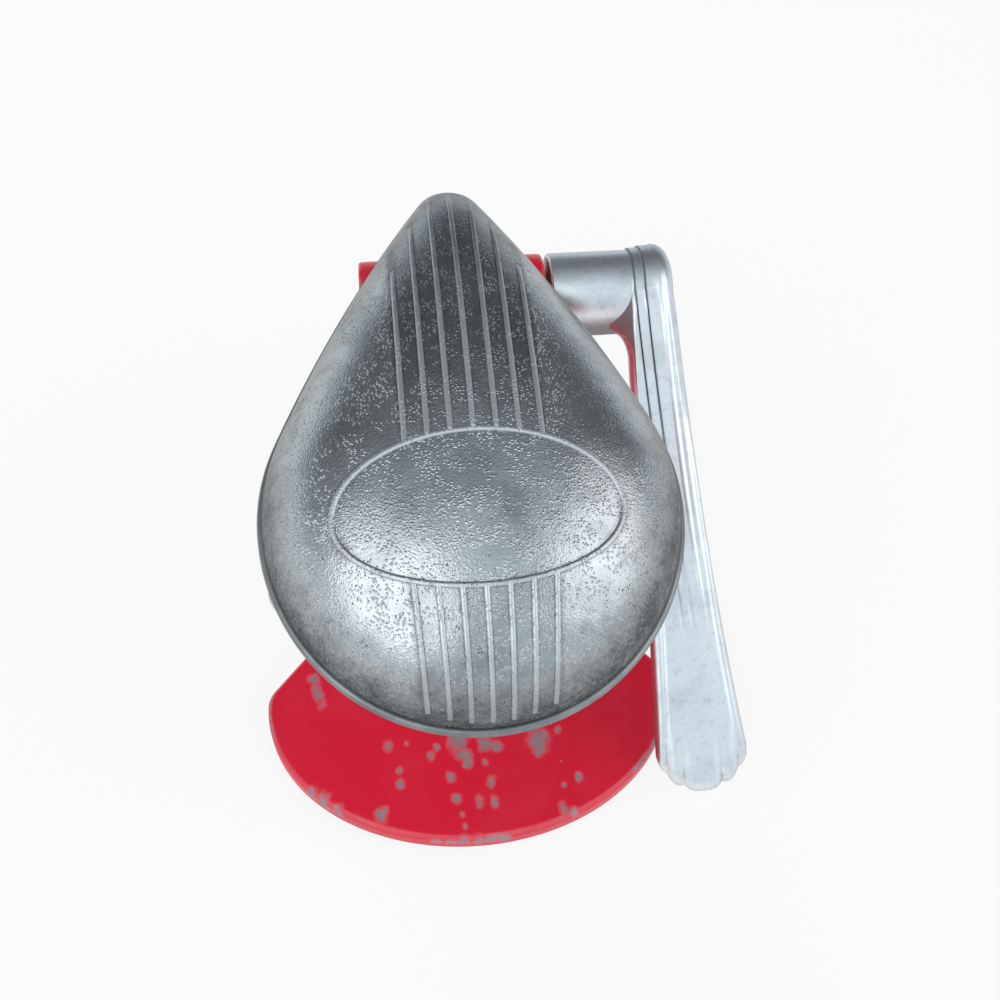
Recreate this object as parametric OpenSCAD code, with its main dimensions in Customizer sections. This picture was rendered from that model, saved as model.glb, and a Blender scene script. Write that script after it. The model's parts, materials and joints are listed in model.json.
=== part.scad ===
// Counter-top lever citrus press with a tilting teardrop top.
// The lever turns a pinion, the pinion lifts a rack, and the rack carries the
// hinged top with its press cup up and away from the reamer in the bowl.
// Frame: x = 0 is the middle plane, the origin lies on the counter under the
// bowl's axis, the front is -Y, the lever is at +X and +Z is up.

/* [Base] */
// Half of the base's width, at its front corners
base_half_w = 78.5; // [72:0.5:86]
// Reach of the base in front of the bowl's axis
base_front = 60; // [54:1:66]
// Place of the base's two side corners
base_corner_y = 4; // [0:0.5:8]
// Slant of the two sides behind the corners
base_slant = 40; // [36:1:44]
// Radius of the hollow neck between a side and the rear lobe
base_neck_r = 30; // [24:1:36]
// Place of the rear lobe that carries the column
base_rear_y = 82; // [80:1:88]
// Radius of the rear lobe
base_rear_r = 34; // [33:0.5:36]
// Height of the base's casting
base_h = 7; // [7:0.5:12]
// Rounding of the base's upper edge
base_round = 2.5; // [1:0.5:3]
// Wall and top thickness of the base's casting
base_wall = 3; // [2.5:0.5:4]
// Thickness of the non-slip pad
pad_t = 2; // [1:0.5:4]

/* [Head] */
// Height of the rim plane at the bowl's axis
rim_z = 131; // [122:1:145]
// Forward tilt of the bowl and top
tilt = 15; // [12:0.5:17]
// Half of the top's width
lid_r = 64.5; // [63.5:0.5:66]
// Place of the top's widest line
lid_y = -5; // [-7:0.5:-3]
// Reach of the top in front of the bowl's axis
lid_front = 73; // [66:0.5:80]
// Place of the tail's round end
tip_y = 101.5; // [98:0.5:110]
// Radius of the tail's round end
tip_r = 13.5; // [12.5:0.5:16]
// Bend of the tail's sides at each of their ends
tail_bend = 6; // [2:0.5:8]
// Height of the top over its rim
lid_h = 37; // [35:0.5:44]
// Wall of the top
lid_wall = 2.4; // [2:0.1:3]
// Height of the rim bead
bead_h = 3.2; // [2:0.2:5]
// Overhang of the rim bead
bead_out = 1.5; // [0.8:0.1:2]
// Height of the ribs and of the oval ring
rib_h = 0.7; // [0.4:0.1:1.2]
// Width of a rib
rib_w = 1.7; // [1:0.1:2.5]
// Distance from rib to rib
rib_pitch = 6.6; // [5:0.2:7]
// Half of the oval's width
oval_a = 41; // [34:1:46]
// Half of the oval's depth
oval_b = 23; // [18:1:26]
// Place of the oval's middle
oval_y = -16.5; // [-22:0.5:-10]

/* [Bowl] */
// Inner radius of the bowl at its rim
bowl_r = 50; // [48:0.5:52]
// Inner radius of the bowl at its floor
bowl_floor_r = 42; // [38:0.5:44]
// Depth of the bowl
bowl_d = 28; // [26:0.5:30]
// Wall of the bowl
bowl_wall = 2; // [1.5:0.1:2.5]
// Distance of the bowl's flange inside the top's edge
flange_in = 4; // [3:0.5:6]
// Width of the bowl's lifting tab
tab_w = 15; // [10:1:20]
// Reach of the lifting tab past the flange
tab_out = 8; // [5:0.5:10]
// Inner radius of the spout
spout_r = 5; // [4:0.5:7]
// Length of the spout under the bowl
spout_l = 12; // [6:1:18]
// Thickness of the strainer's sheet
sheet_t = 1.2; // [0.8:0.1:1.6]
// Depth of the strainer's plate under the rim
plate_d = 12; // [10:0.5:14]
// Count of strainer slots
slots = 20; // [12:2:24]
// Radius of the reamer at its foot
cone_r = 27; // [24:0.5:29]
// Height of the reamer
cone_h = 26; // [22:0.5:27]
// Count of reamer ribs
cone_ribs = 12; // [8:2:16]
// Inner radius of the press cup
cup_r = 40; // [39:0.5:41]
// Depth of the press cup's rim under the rim plane
cup_drop = 5; // [3:0.5:7]
// Wall of the press cup
cup_wall = 1.8; // [1.4:0.1:2.4]

/* [Drive] */
// Module of the rack and pinion
gear_m = 2; // [1.9:0.05:2.1]
// Teeth of the pinion
gear_n = 12; // [11:1:13]
// Pressure angle
gear_pa = 25; // [22:1:27]
// Flank play between rack and pinion
gear_play = 0.5; // [0.4:0.05:0.7]
// Shaft place behind the bowl's axis, in the head's frame
shaft_y = 92; // [91:0.5:94]
// Shaft depth under the rim plane, in the head's frame
shaft_d = 31.6; // [30:0.2:34]
// Radius of the shaft
shaft_r = 5; // [4.5:0.1:5.5]
// Turn of the lever from its rest to its stop
lever_turn = 150; // [120:5:150]
// Width of the rack bar
rack_w = 12; // [10:0.5:13]
// Depth of the rack bar's back, under the teeth's roots
rack_t = 11.5; // [9:0.5:12]
// Radius of the top's hinge pin
pin_r = 2.5; // [2:0.1:3]
// Hinge place behind the bowl's axis, in the head's frame
hinge_y = 93; // [91:0.5:95]
// Hinge height over the rim plane
hinge_h = 3; // [2:0.5:4]

/* [Column] */
// Half of the column's width
col_half_w = 27; // [26:0.5:30]
// Wall of the column's cheeks
cheek_t = 5; // [4:0.5:6]
// Outer face of the right ear
ear_x = 34.5; // [33:0.5:36]
// Outer face of the closed left ear
ear_left = 31.5; // [30:0.5:34]
// Radius of the ears and of the lever's hub
ear_r = 15.3; // [14.5:0.1:16]

/* [Lever] */
// Gap between the lever's arm and the top's edge
arm_gap = 1.5; // [1.5:0.5:5]
// Width of the arm at the hub
arm_w0 = 15; // [12:0.5:17]
// Width of the arm at the grip
arm_w1 = 34.5; // [28:0.5:36]
// Flare of the arm's inner edge at the hub
arm_flare = 6; // [3:0.5:8]
// Length from the shaft to the middle of the grip's end
arm_l = 170; // [150:1:174]
// Thickness of the arm
arm_t = 6; // [5:0.5:7]
// Slope of the resting lever under the horizontal
arm_drop = 42; // [38:0.5:42]
// Lobes on the grip's end
lobes = 5; // [4:1:7]

/* [Fits] */
// Running clearance of shafts and pins
run_c = 0.05; // [0.02:0.01:0.08]
// Gap between sliding faces
slide_c = 0.3; // [0.25:0.05:0.4]
// Gap between the top's rim and the bowl's flange
rim_c = 0.8; // [0.5:0.1:1.2]
// Seat clearance of fixed pieces
seat_c = 0.02; // [0.01:0.01:0.04]

/* [Hidden] */
$fn = 64;
over = 1;
RED = "crimson";
METAL = "silver";
STEEL = "gainsboro";

// Base
base_top = pad_t + base_h;
side_out = [cos(base_slant), sin(base_slant)];
side_run = [-sin(base_slant), cos(base_slant)];
side_far = side_out*[base_half_w, base_corner_y];
rear = [0, base_rear_y];
neck_off = side_far + base_neck_r;
neck_way = side_run*rear - sqrt(pow(base_rear_r + base_neck_r, 2) - pow(side_out*rear - neck_off, 2));
neck = neck_off*side_out + neck_way*side_run;
lobe_a = atan2(neck[1] - base_rear_y, neck[0]);
pad_inset = 1.5;

// Head frame: y runs back along the rim plane and z stands square on it
function hy(y, z) = y*cos(tilt) - z*sin(tilt);
function hz(y, z) = rim_z + y*sin(tilt) + z*cos(tilt);
sy = hy(shaft_y, -shaft_d);
sz = hz(shaft_y, -shaft_d);

// Drive
pitch_r = gear_m*gear_n/2;
pitch = PI*gear_m;
rack_y = shaft_y - pitch_r;
pinion_add = 1.6*gear_m/2;
pinion_ded = 2.3*gear_m/2;
rack_add = 1.3*gear_m/2;
rack_ded = 2.1*gear_m/2;
rack_back = rack_y - rack_ded - rack_t;
stroke = pitch_r*lever_turn*PI/180;
rack_top = -12;
rack_low = -shaft_d - stroke - 2*pitch;
eye_t = 4;
eye_r = pin_r + eye_t;
eye_w = 16;
lug_t = 5;
lug_x = eye_w/2 + slide_c + lug_t;
pinion_w = 13;
hub_l = 7.5;
hub_t = 3;
hub_r = shaft_r + hub_t;

// Column
cavity_x = col_half_w - cheek_t;
floor_t = 8;
guide_t = 3;
guide_d = 9;
guide_side = 7;
guide_screw_x = 3.6;
guide_screw_z = 10;
guide_front = rack_back - slide_c - guide_t;
guide_w = rack_w + 2*guide_side;
guide_top = -18;
guide_low = -64;
bush_t = 2.5;
bush_r = shaft_r + bush_t;
bush_flange = 2;
thrust_t = 1;
blind_t = 3;
blind_x = blind_t - ear_left;
collar_w = 7;
flange_r = lid_r - flange_in;
flange_t = 2.4;
ring_c = 0.6;
ring_in = bowl_r + bowl_wall + ring_c;
ring_t = 5;
ring_h = 10;
ring_top = -rim_c - flange_t;
pad_y = 60;
pad_low = -29;
pad_w = 46;
pad_x = 17.5;
pad_z = -22;
foot_front = 50;
foot_back = 97;
foot_r = 14;
foot_step = 5;
foot_rise = 16;
waist_rise = 45;
shoulder_rise = 50;
shoulder_out = 8;
wall_t = 4;
stem_x = 15;
stem_y = 13;
stem_back = 12;
cheek_in = 1.2;

// Screws
bolt_r = 2;
bolt_head_r = 3.8;
bolt_head_h = 2.6;
screw_r = 1.5;
screw_head_r = 2.8;
screw_head_h = 1.8;
screw_l = 12;
tip_c = 1;

// Lever
hub_x0 = ear_x + thrust_t + 2*slide_c;
arm_x = lid_r + arm_gap;
arm_top = 14.5;
step_w = 2.2;
step_h = 0.8;
arm_root = 4;
hub_edge = 2;
hub_blind = 5;
hub_screw_x = 8;
hub_screw_c = 0.6;
lobe_r = arm_w1*PI/(5*lobes);
grip_r = arm_w1/2;

// Press cup
cup_top = 24;
cup_c = cup_top - cup_r;
seat_t = 1.2;
seat_z = cup_top - seat_t;
seat_r = 9;
stud_r = 2.5;
stud_end = 1.5;
stud_low = 6.2;
washer_t = 1.2;
washer_r = 6.5;
nut_r = 4.6;
nut_h = 4;
cone_low = 3;
rib_rise = 3;
rib_t = 2;
slot_w = 2.4;
slot_c = 3;
basket_c = 0.6;
basket_lip = 6;
spout_in = 6;

module head() { translate([0, 0, rim_z]) rotate([tilt, 0, 0]) children(); }
module xcyl(r, x0, x1) { translate([x0, 0, 0]) rotate([0, 90, 0]) cylinder(h = x1 - x0, r = r); }
module side(x0, x1) { translate([x0, 0, 0]) rotate([90, 0, 90]) linear_extrude(x1 - x0) children(); }
module both() { children(); mirror([1, 0, 0]) children(); }

// Right side of the base's outline, drawn in by i: a corner, a slanted side, a hollow neck and the rear lobe
function base_side(i) = concat(
    [[base_half_w - i, base_corner_y - i*(1 - cos(base_slant))/sin(base_slant)]],
    [for (k = [0:6]) let (t = 180 + base_slant + (lobe_a - base_slant)*k/6)
        neck + (base_neck_r + i)*[cos(t), sin(t)]],
    [for (k = [1:11]) let (t = lobe_a + (90 - lobe_a)*k/12) rear + (base_rear_r - i)*[cos(t), sin(t)]]);
// Whole outline: half an oval in front and two such sides
function base_loop(i) =
    let (right = base_side(i), n = len(right))
    concat([for (t = [180:7.5:360]) [(base_half_w - i)*cos(t), (base_front - i)*sin(t)]], right,
        [[0, base_rear_y + base_rear_r - i]], [for (k = [n - 1:-1:0]) [-right[k][0], right[k][1]]]);
module base_2d(i = 0) { polygon(base_loop(i)); }

// Screw places that hold the column on the base
function foot_spots() = [[-stem_x, foot_front + stem_y], [stem_x, foot_front + stem_y],
    [0, foot_back - stem_back]];

module base_plate() color(RED) difference() {
    translate([0, 0, pad_t]) for (k = [0:4])
        linear_extrude(base_h - base_round*(1 - sin(22.5*k))) base_2d(base_round*(1 - cos(22.5*k)));
    translate([0, 0, pad_t - over]) linear_extrude(base_h - base_wall + over) base_2d(base_wall);
    for (p = foot_spots()) translate([p[0], p[1], 0]) cylinder(h = base_top + over, r = bolt_r + seat_c);
}

module base_pad() color("dimgray") linear_extrude(pad_t) base_2d(pad_inset);

module column_screws() color(STEEL) for (p = foot_spots())
    translate([p[0], p[1], base_top - base_wall - bolt_head_h]) {
        cylinder(h = bolt_head_h, r = bolt_head_r);
        cylinder(h = bolt_head_h + base_wall + floor_t - tip_c, r = bolt_r);
    }

// Side view of the column's cheeks
module column_side() {
    polygon([[foot_front, base_top], [foot_front + foot_step, base_top + foot_rise],
        [foot_front + 2*foot_step, base_top + waist_rise],
        [hy(pad_y, pad_low), hz(pad_y, pad_low)], [hy(pad_y, -ear_r), hz(pad_y, -ear_r)],
        [sy - 2*cheek_in, sz + ear_r - cheek_in], [sy + ear_r - cheek_in, sz - 2*cheek_in],
        [foot_back + shoulder_out, base_top + shoulder_rise], [foot_back, base_top]]);
}
// Hollow behind the column's front wall, open at the back and the top
module column_hollow() {
    polygon([[foot_front + 2*foot_step, base_top + floor_t],
        [foot_front + 2*foot_step + wall_t, base_top + waist_rise - foot_step],
        [hy(guide_front, guide_low), hz(guide_front, guide_low)],
        [hy(guide_front, 2*ear_r), hz(guide_front, 2*ear_r)],
        [sy + 4*ear_r, hz(guide_front, 2*ear_r)], [sy + 4*ear_r, base_top + floor_t]]);
}
function guide_spots() = [for (s = [-1, 1]) for (z = [guide_top - guide_screw_z, guide_low + guide_screw_z])
    [s*(rack_w/2 + guide_screw_x), z]];

module column() color(RED) difference() {
    union() {
        intersection() {
            side(-col_half_w, col_half_w) column_side();
            linear_extrude(rim_z*2) {
                translate([-col_half_w, foot_front + foot_r]) square([2*col_half_w, rim_z]);
                translate([foot_r - col_half_w, foot_front]) square([2*(col_half_w - foot_r), rim_z]);
                both() translate([col_half_w - foot_r, foot_front + foot_r]) circle(r = foot_r);
            }
        }
        translate([0, sy, sz]) xcyl(ear_r, -ear_left, ear_x);
    }
    side(-cavity_x, cavity_x) column_hollow();
    translate([0, sy, sz]) xcyl(bush_r + seat_c, blind_x, ear_x + over);
    for (p = foot_spots()) translate([p[0], p[1], base_top - over])
        cylinder(h = floor_t + over - tip_c, r = bolt_r + seat_c);
    head() for (p = guide_spots()) translate([p[0], guide_front + over, p[1]])
        rotate([90, 0, 0]) cylinder(h = screw_l - guide_d + over + tip_c, r = screw_r + seat_c);
    head() both() translate([pad_x, guide_front + over, pad_z])
        rotate([90, 0, 0]) cylinder(h = 2*ear_r, r = bolt_r + seat_c);
}

// Ring that holds the bowl, with a pad that bolts to the column's front
module bowl_ring() color(RED) head() difference() {
    union() {
        translate([0, 0, ring_top - ring_h]) cylinder(h = ring_h, r = ring_in + ring_t);
        side(-pad_w/2, pad_w/2) polygon([[ring_in - ring_t, ring_top], [ring_in + ring_t, ring_top],
            [pad_y, ring_top - ring_t], [pad_y, pad_low], [pad_y - ring_t, pad_low],
            [ring_in - ring_t, ring_top - ring_h]]);
    }
    translate([0, 0, 2*pad_low]) cylinder(h = -2*pad_low, r = ring_in);
    both() translate([pad_x, pad_y + over, pad_z]) rotate([90, 0, 0])
        cylinder(h = over + wall_t, r = bolt_r + seat_c);
}
module ring_screws() color("dimgray") head() both() translate([pad_x, guide_front, pad_z]) {
    rotate([90, 0, 0]) cylinder(h = guide_front - pad_y + wall_t - tip_c, r = bolt_r);
    rotate([-90, 0, 0]) cylinder(h = screw_head_h, r = bolt_head_r);
}

// Flanged bush in the right ear, its flange takes the lever's thrust
module ear_bush_right() color("peru") translate([0, sy, sz]) difference() {
    union() {
        xcyl(bush_r, cavity_x, ear_x);
        xcyl(bush_r + bush_flange, ear_x, ear_x + thrust_t);
    }
    xcyl(shaft_r + run_c, cavity_x - over, ear_x + thrust_t + over);
}
// Plain bush in the closed left ear
module ear_bush_left() color("peru") translate([0, sy, sz]) difference() {
    xcyl(bush_r, blind_x, -cavity_x);
    xcyl(shaft_r + run_c, blind_x - over, over - cavity_x);
}

// Channel that keeps the rack bar straight
module rack_guide() color(STEEL) head() difference() {
    translate([-guide_w/2, guide_front, guide_low])
        cube([guide_w, guide_d, guide_top - guide_low]);
    translate([-rack_w/2 - slide_c, rack_back - slide_c, guide_low - over])
        cube([rack_w + 2*slide_c, 2*guide_d, guide_top - guide_low + 2*over]);
    for (p = guide_spots()) translate([p[0], guide_front - over, p[1]])
        rotate([-90, 0, 0]) cylinder(h = 2*guide_d, r = screw_r + seat_c);
}
module guide_screws() color("dimgray") head() for (p = guide_spots())
    translate([p[0], guide_front + guide_d, p[1]]) {
        rotate([90, 0, 0]) cylinder(h = screw_l, r = screw_r);
        rotate([-90, 0, 0]) cylinder(h = screw_head_h, r = screw_head_r);
    }

// Bowl with a flange, a lifting tab, a floor and a spout at its low front
module juice_bowl() color("lightsteelblue") head() {
    zt = -rim_c;
    zf = -rim_c - bowl_d;
    sp = spout_r + spout_in - bowl_floor_r;
    difference() {
        union() {
            rotate_extrude() polygon([[0, zf - bowl_wall], [bowl_floor_r, zf - bowl_wall],
                [bowl_floor_r + bowl_wall, zf], [bowl_r + bowl_wall, ring_top],
                [flange_r, ring_top], [flange_r, zt], [bowl_r, zt], [bowl_floor_r, zf], [0, zf]]);
            translate([0, sp, zf - spout_l]) cylinder(h = spout_l, r = spout_r + bowl_wall);
            rotate(200) translate([flange_r - over, 0, ring_top]) intersection() {
                translate([tab_w/2 - flange_in, 0, 0]) cylinder(h = flange_t, r = tab_w/2 + over);
                translate([-flange_in, -tab_w/2, 0]) cube([flange_in + over + tab_out, tab_w, flange_t]);
            }
        }
        translate([0, sp, zf - spout_l - over]) cylinder(h = spout_l + 2*over, r = spout_r);
    }
}

// Perforated basket that hangs by its rim on the bowl's flange
module strainer_basket() color(METAL) head() {
    zt = -rim_c;
    wall_r = bowl_r - (bowl_r - bowl_floor_r)*(plate_d + sheet_t)/bowl_d - basket_c;
    difference() {
        rotate_extrude() polygon([[cone_low, -plate_d - sheet_t], [wall_r, -plate_d - sheet_t],
            [bowl_r - basket_c, zt], [bowl_r + basket_lip, zt], [bowl_r + basket_lip, zt + sheet_t],
            [bowl_r - basket_c - sheet_t, zt + sheet_t], [wall_r - sheet_t, -plate_d], [cone_low, -plate_d]]);
        for (k = [0:slots - 1]) rotate(360*k/slots)
            translate([cone_r + slot_c, -slot_w/2, -plate_d - sheet_t - over])
            cube([wall_r - sheet_t - cone_r - 2*slot_c + over, slot_w, sheet_t + 2*over]);
    }
}

// Half section of the reamer, swelled by g
function ogive(g) = [for (k = [0:8]) let (q = 90*k/8)
    [(cone_r - rib_rise + g)*pow(cos(q), 1.15), (cone_h - rib_rise + g)*pow(sin(q), 0.9)]];
module reamer_cone() color(METAL) head() translate([0, 0, -plate_d]) {
    rotate_extrude() polygon(concat([[0, 0]], [for (p = ogive(0)) [max(p[0], 0), p[1]]]));
    for (k = [0:cone_ribs - 1]) rotate(360*k/cone_ribs)
        rotate([90, 0, 0]) linear_extrude(rib_t, center = true)
        polygon(concat([[0, 0]], [for (p = ogive(rib_rise)) [max(p[0], 0), p[1]]]));
    translate([0, 0, -sheet_t - rib_t]) cylinder(h = sheet_t + rib_t, r = cone_low - seat_c);
}

// Involute gear outline
function inv(a) = tan(a)*180/PI - a;
module gear_2d() {
    rb = pitch_r*cos(gear_pa);
    ra = pitch_r + pinion_add;
    rr = pitch_r - pinion_ded;
    half = 90/gear_n - gear_play/4/pitch_r*180/PI;
    rad = [rr, max(rb, rr), for (k = [1:4]) max(rb, rr) + (ra - max(rb, rr))*k/4];
    ang = [for (r = rad) half + inv(gear_pa) - inv(acos(min(rb/r, 1)))];
    polygon([for (t = [0:gear_n - 1]) for (s = [-1, 1]) for (k = [0:5])
        let (j = s < 0 ? k : 5 - k) rad[j]*[cos(360*t/gear_n + s*ang[j]), sin(360*t/gear_n + s*ang[j])]]);
}

// Rack bar with its teeth, and the arm and eye that carry the hinged top
module rack_bar() color(STEEL) head() difference() {
    union() {
        translate([-rack_w/2, rack_back, rack_low])
            cube([rack_w, rack_t, rack_top - rack_low + 11]);
        w0 = pitch/4 - gear_play/4;
        for (k = [-ceil((stroke + pitch)/pitch):1]) {
            zc = -shaft_d + (k + 0.5)*pitch;
            side(-rack_w/2, rack_w/2) polygon([
                [rack_y - rack_ded - 0.5, zc - w0 - rack_ded*tan(gear_pa)],
                [rack_y - rack_ded, zc - w0 - rack_ded*tan(gear_pa)],
                [rack_y + rack_add, zc - w0 + rack_add*tan(gear_pa)],
                [rack_y + rack_add, zc + w0 - rack_add*tan(gear_pa)],
                [rack_y - rack_ded, zc + w0 + rack_ded*tan(gear_pa)],
                [rack_y - rack_ded - 0.5, zc + w0 + rack_ded*tan(gear_pa)]]);
        }
        side(-eye_w/2, eye_w/2) {
            polygon([[rack_back, rack_top + 2], [rack_back + 4, rack_top],
                [hinge_y + 2, rack_top], [hinge_y + eye_r, hinge_h],
                [hinge_y, hinge_h + eye_r], [rack_back + 8, rack_top + 11], [rack_back, rack_top + 8]]);
            translate([hinge_y, hinge_h]) circle(r = eye_r);
        }
    }
    translate([0, hinge_y, hinge_h]) xcyl(pin_r + run_c, -eye_w, eye_w);
}

// Plan of the lever's arm, drawn in by i: a blade that widens to a lobed end and flares into the hub
function arm_w(s) = arm_w0 + (arm_w1 - arm_w0)*(s + s*s)/2;
module arm_2d(i) {
    polygon(concat([[arm_x + i, -2*ear_r], [arm_x + i - arm_flare, arm_root], [arm_x + arm_w0 - i, arm_root]],
        [for (k = [0:6]) [arm_x + arm_w(k/6) - i, -arm_l*k/6]], [[arm_x + i, -arm_l]]));
    translate([arm_x + grip_r, -arm_l]) intersection() {
        union() {
            circle(r = grip_r - lobe_r*0.6 - i);
            for (k = [0:lobes - 1]) rotate(-180 + 180*(k + 0.5)/lobes)
                translate([grip_r - lobe_r, 0]) circle(r = lobe_r - i/2);
        }
        translate([-grip_r, -2*grip_r]) square([2*grip_r, 2*grip_r + over]);
    }
}
// Lever: a hub on the shaft and a tapering arm stepped twice along both edges
module lever_handle() color(METAL) translate([0, sy, sz]) difference() {
    union() {
        xcyl(ear_r, hub_x0, arm_x + arm_w0 - hub_edge);
        xcyl(ear_r - hub_edge, hub_x0, arm_x + arm_w0);
        rotate([arm_drop, 0, 0]) translate([0, 0, arm_top - arm_t]) for (k = [0:2])
            linear_extrude(arm_t + (k - 1)*step_h) arm_2d(k*step_w);
    }
    xcyl(shaft_r + seat_c, hub_x0 - over, arm_x - hub_blind);
    translate([hub_x0 + hub_screw_x, 0, 0]) rotate([arm_drop, 0, 0]) rotate([180, 0, 0])
        cylinder(h = ear_r + over, r = bolt_r + seat_c);
}
module hub_screw() color("dimgray") translate([hub_x0 + hub_screw_x, sy, sz]) rotate([arm_drop + 180, 0, 0])
    translate([0, 0, shaft_r]) cylinder(h = ear_r - shaft_r - hub_screw_c, r = bolt_r);

module cross_shaft() color(STEEL) translate([0, sy, sz]) difference() {
    xcyl(shaft_r, blind_x + 2*slide_c, arm_x - hub_blind);
    translate([pinion_w/2 + hub_l/2, 0, 0]) rotate([tilt, 0, 0])
        cylinder(h = 4*hub_r, r = screw_r + seat_c, center = true);
}
module drive_pinion() color(STEEL) translate([0, sy, sz]) rotate([tilt, 0, 0]) difference() {
    union() {
        side(-pinion_w/2, pinion_w/2) rotate(180) gear_2d();
        xcyl(hub_r, 0, pinion_w/2 + hub_l);
    }
    xcyl(shaft_r + seat_c, -2*pinion_w, 2*pinion_w);
    translate([pinion_w/2 + hub_l/2, 0, 0]) cylinder(h = 4*hub_r, r = screw_r + seat_c, center = true);
}
module pinion_pin() color("dimgray") translate([pinion_w/2 + hub_l/2, sy, sz]) rotate([tilt, 0, 0])
    cylinder(h = 2*hub_r, r = screw_r, center = true);
// Collar that keeps the shaft from sliding out of its bushes
module shaft_collar() color(METAL) translate([0, sy, sz]) difference() {
    xcyl(bush_r + screw_r, 2*slide_c - cavity_x, 2*slide_c - cavity_x + collar_w);
    xcyl(shaft_r + seat_c, -cavity_x, 0);
}

// Right side of the top's outline, drawn in by i: a shoulder, a gently bowed side and half the tail's end
tail_lean = asin((lid_r - tip_r)/(tip_y - lid_y));
tail_a0 = tail_lean - tail_bend;
tail_a1 = tail_lean + tail_bend;
function shoulder_pt(i, t) = [0, lid_y] + (lid_r - i)*[cos(t), sin(t)];
function tip_pt(i, t) = [0, tip_y] + (tip_r - i)*[cos(t), sin(t)];
function bowed_pt(i, f) =
    let (p = shoulder_pt(i, tail_a0), q = tip_pt(i, tail_a1),
        run = (q - p)*[cos(tail_a1), sin(tail_a1)]/sin(tail_a1 - tail_a0),
        bend = p + run*[-sin(tail_a0), cos(tail_a0)])
    (1 - f)*(1 - f)*p + 2*f*(1 - f)*bend + f*f*q;
function lid_side(i) = concat([for (k = [0:3]) shoulder_pt(i, tail_a0*k/3)],
    [for (k = [1:4]) bowed_pt(i, k/5)],
    [for (k = [0:3]) tip_pt(i, tail_a1 + (90 - tail_a1)*k/4)]);
// Whole outline: half an oval in front and two such sides
function lid_loop(i) =
    let (right = lid_side(i), n = len(right))
    concat([for (t = [180:9:351]) [(lid_r - i)*cos(t), lid_y + (lid_front + lid_y - i)*sin(t)]], right,
        [[0, tip_y + tip_r - i]], [for (k = [n - 1:-1:1]) [-right[k][0], right[k][1]]]);

// Dome over that outline, drawn in by i, h high, with a straight skirt d deep under the rim plane
lid_rings = 9;
dome_e = 0.92;
module lid_dome(i, h, d) {
    loop = lid_loop(i);
    n = len(loop);
    pts = concat([for (p = loop) [p[0], p[1], -d]],
        [for (k = [0:lid_rings - 1]) let (q = 90*k/lid_rings) for (p = loop)
            [p[0]*pow(cos(q), dome_e), p[1]*pow(cos(q), dome_e), h*pow(sin(q), dome_e)]],
        [[0, 0, h]]);
    polyhedron(pts, concat([[for (j = [0:n - 1]) j]],
        [for (k = [0:lid_rings - 1]) for (j = [0:n - 1]) [k*n + j, (k + 1)*n + j, (k + 1)*n + (j + 1)%n]],
        [for (k = [0:lid_rings - 1]) for (j = [0:n - 1]) [k*n + j, (k + 1)*n + (j + 1)%n, k*n + (j + 1)%n]],
        [for (j = [0:n - 1]) [lid_rings*n + j, (lid_rings + 1)*n, lid_rings*n + (j + 1)%n]]));
}
function oval(g) = [for (t = [0:9:351]) [(oval_a + g)*cos(t), oval_y + (oval_b + g)*sin(t)]];

module lid_shell() color(METAL) head() difference() {
    union() {
        difference() {
            union() {
                lid_dome(bead_out, lid_h, 0);
                linear_extrude(bead_h) polygon(lid_loop(0));
                intersection() {
                    lid_dome(bead_out - rib_h, lid_h + rib_h, 0);
                    translate([0, 0, bead_h + 1]) linear_extrude(lid_h) union() {
                        difference() {
                            polygon(oval(rib_w/2));
                            polygon(oval(-rib_w/2));
                        }
                        difference() {
                            for (k = [-3:3]) translate([k*rib_pitch - rib_w/2, -lid_front])
                                square([rib_w, lid_front + tip_y + tip_r]);
                            polygon(oval(0));
                        }
                    }
                }
            }
            lid_dome(bead_out + lid_wall, lid_h - lid_wall, over);
        }
        intersection() {
            lid_dome(bead_out + lid_wall/2, lid_h - lid_wall/2, 20);
            union() {
                both() side(lug_x - lug_t, lug_x) {
                    translate([hinge_y, hinge_h]) circle(r = eye_r);
                    translate([hinge_y - eye_r, hinge_h]) square([2*eye_r, lid_h]);
                }
                translate([0, 0, cup_c + cup_r + cup_wall]) cylinder(h = lid_h, r = seat_r);
            }
        }
    }
    translate([0, hinge_y, hinge_h]) xcyl(pin_r + seat_c, -lug_x, lug_x);
    translate([0, 0, seat_z]) cylinder(h = lid_h - lid_wall - seat_z - stud_end, r = stud_r + seat_c);
}
module lid_hinge_pin() color(STEEL) head() translate([0, hinge_y, hinge_h])
    xcyl(pin_r, -lug_x, lug_x);

// Press cup bolted under the top, with a flat seat for its nut
module press_cup() color(METAL) head() difference() {
    union() {
        difference() {
            translate([0, 0, cup_c]) sphere(r = cup_r + cup_wall);
            translate([0, 0, cup_c]) sphere(r = cup_r);
        }
        translate([0, 0, seat_z]) cylinder(h = seat_t + cup_wall, r = seat_r);
    }
    translate([0, 0, -cup_drop - 4*cup_r]) cylinder(h = 4*cup_r, r = 2*cup_r);
    translate([0, 0, seat_z - over]) cylinder(h = cup_r, r = stud_r + seat_c);
}
module press_washer() color(STEEL) head() translate([0, 0, seat_z - washer_t]) difference() {
    cylinder(h = washer_t, r = washer_r);
    translate([0, 0, -over]) cylinder(h = washer_t + 2*over, r = stud_r + seat_c);
}
module press_nut() color(STEEL) head() translate([0, 0, seat_z - washer_t - nut_h]) difference() {
    cylinder(h = nut_h, r = nut_r, $fn = 6);
    translate([0, 0, -over]) cylinder(h = nut_h + 2*over, r = stud_r + seat_c);
}
module press_stud() color(STEEL) head() translate([0, 0, seat_z - stud_low])
    cylinder(h = lid_h - lid_wall - stud_end - seat_z + stud_low, r = stud_r);

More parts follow.
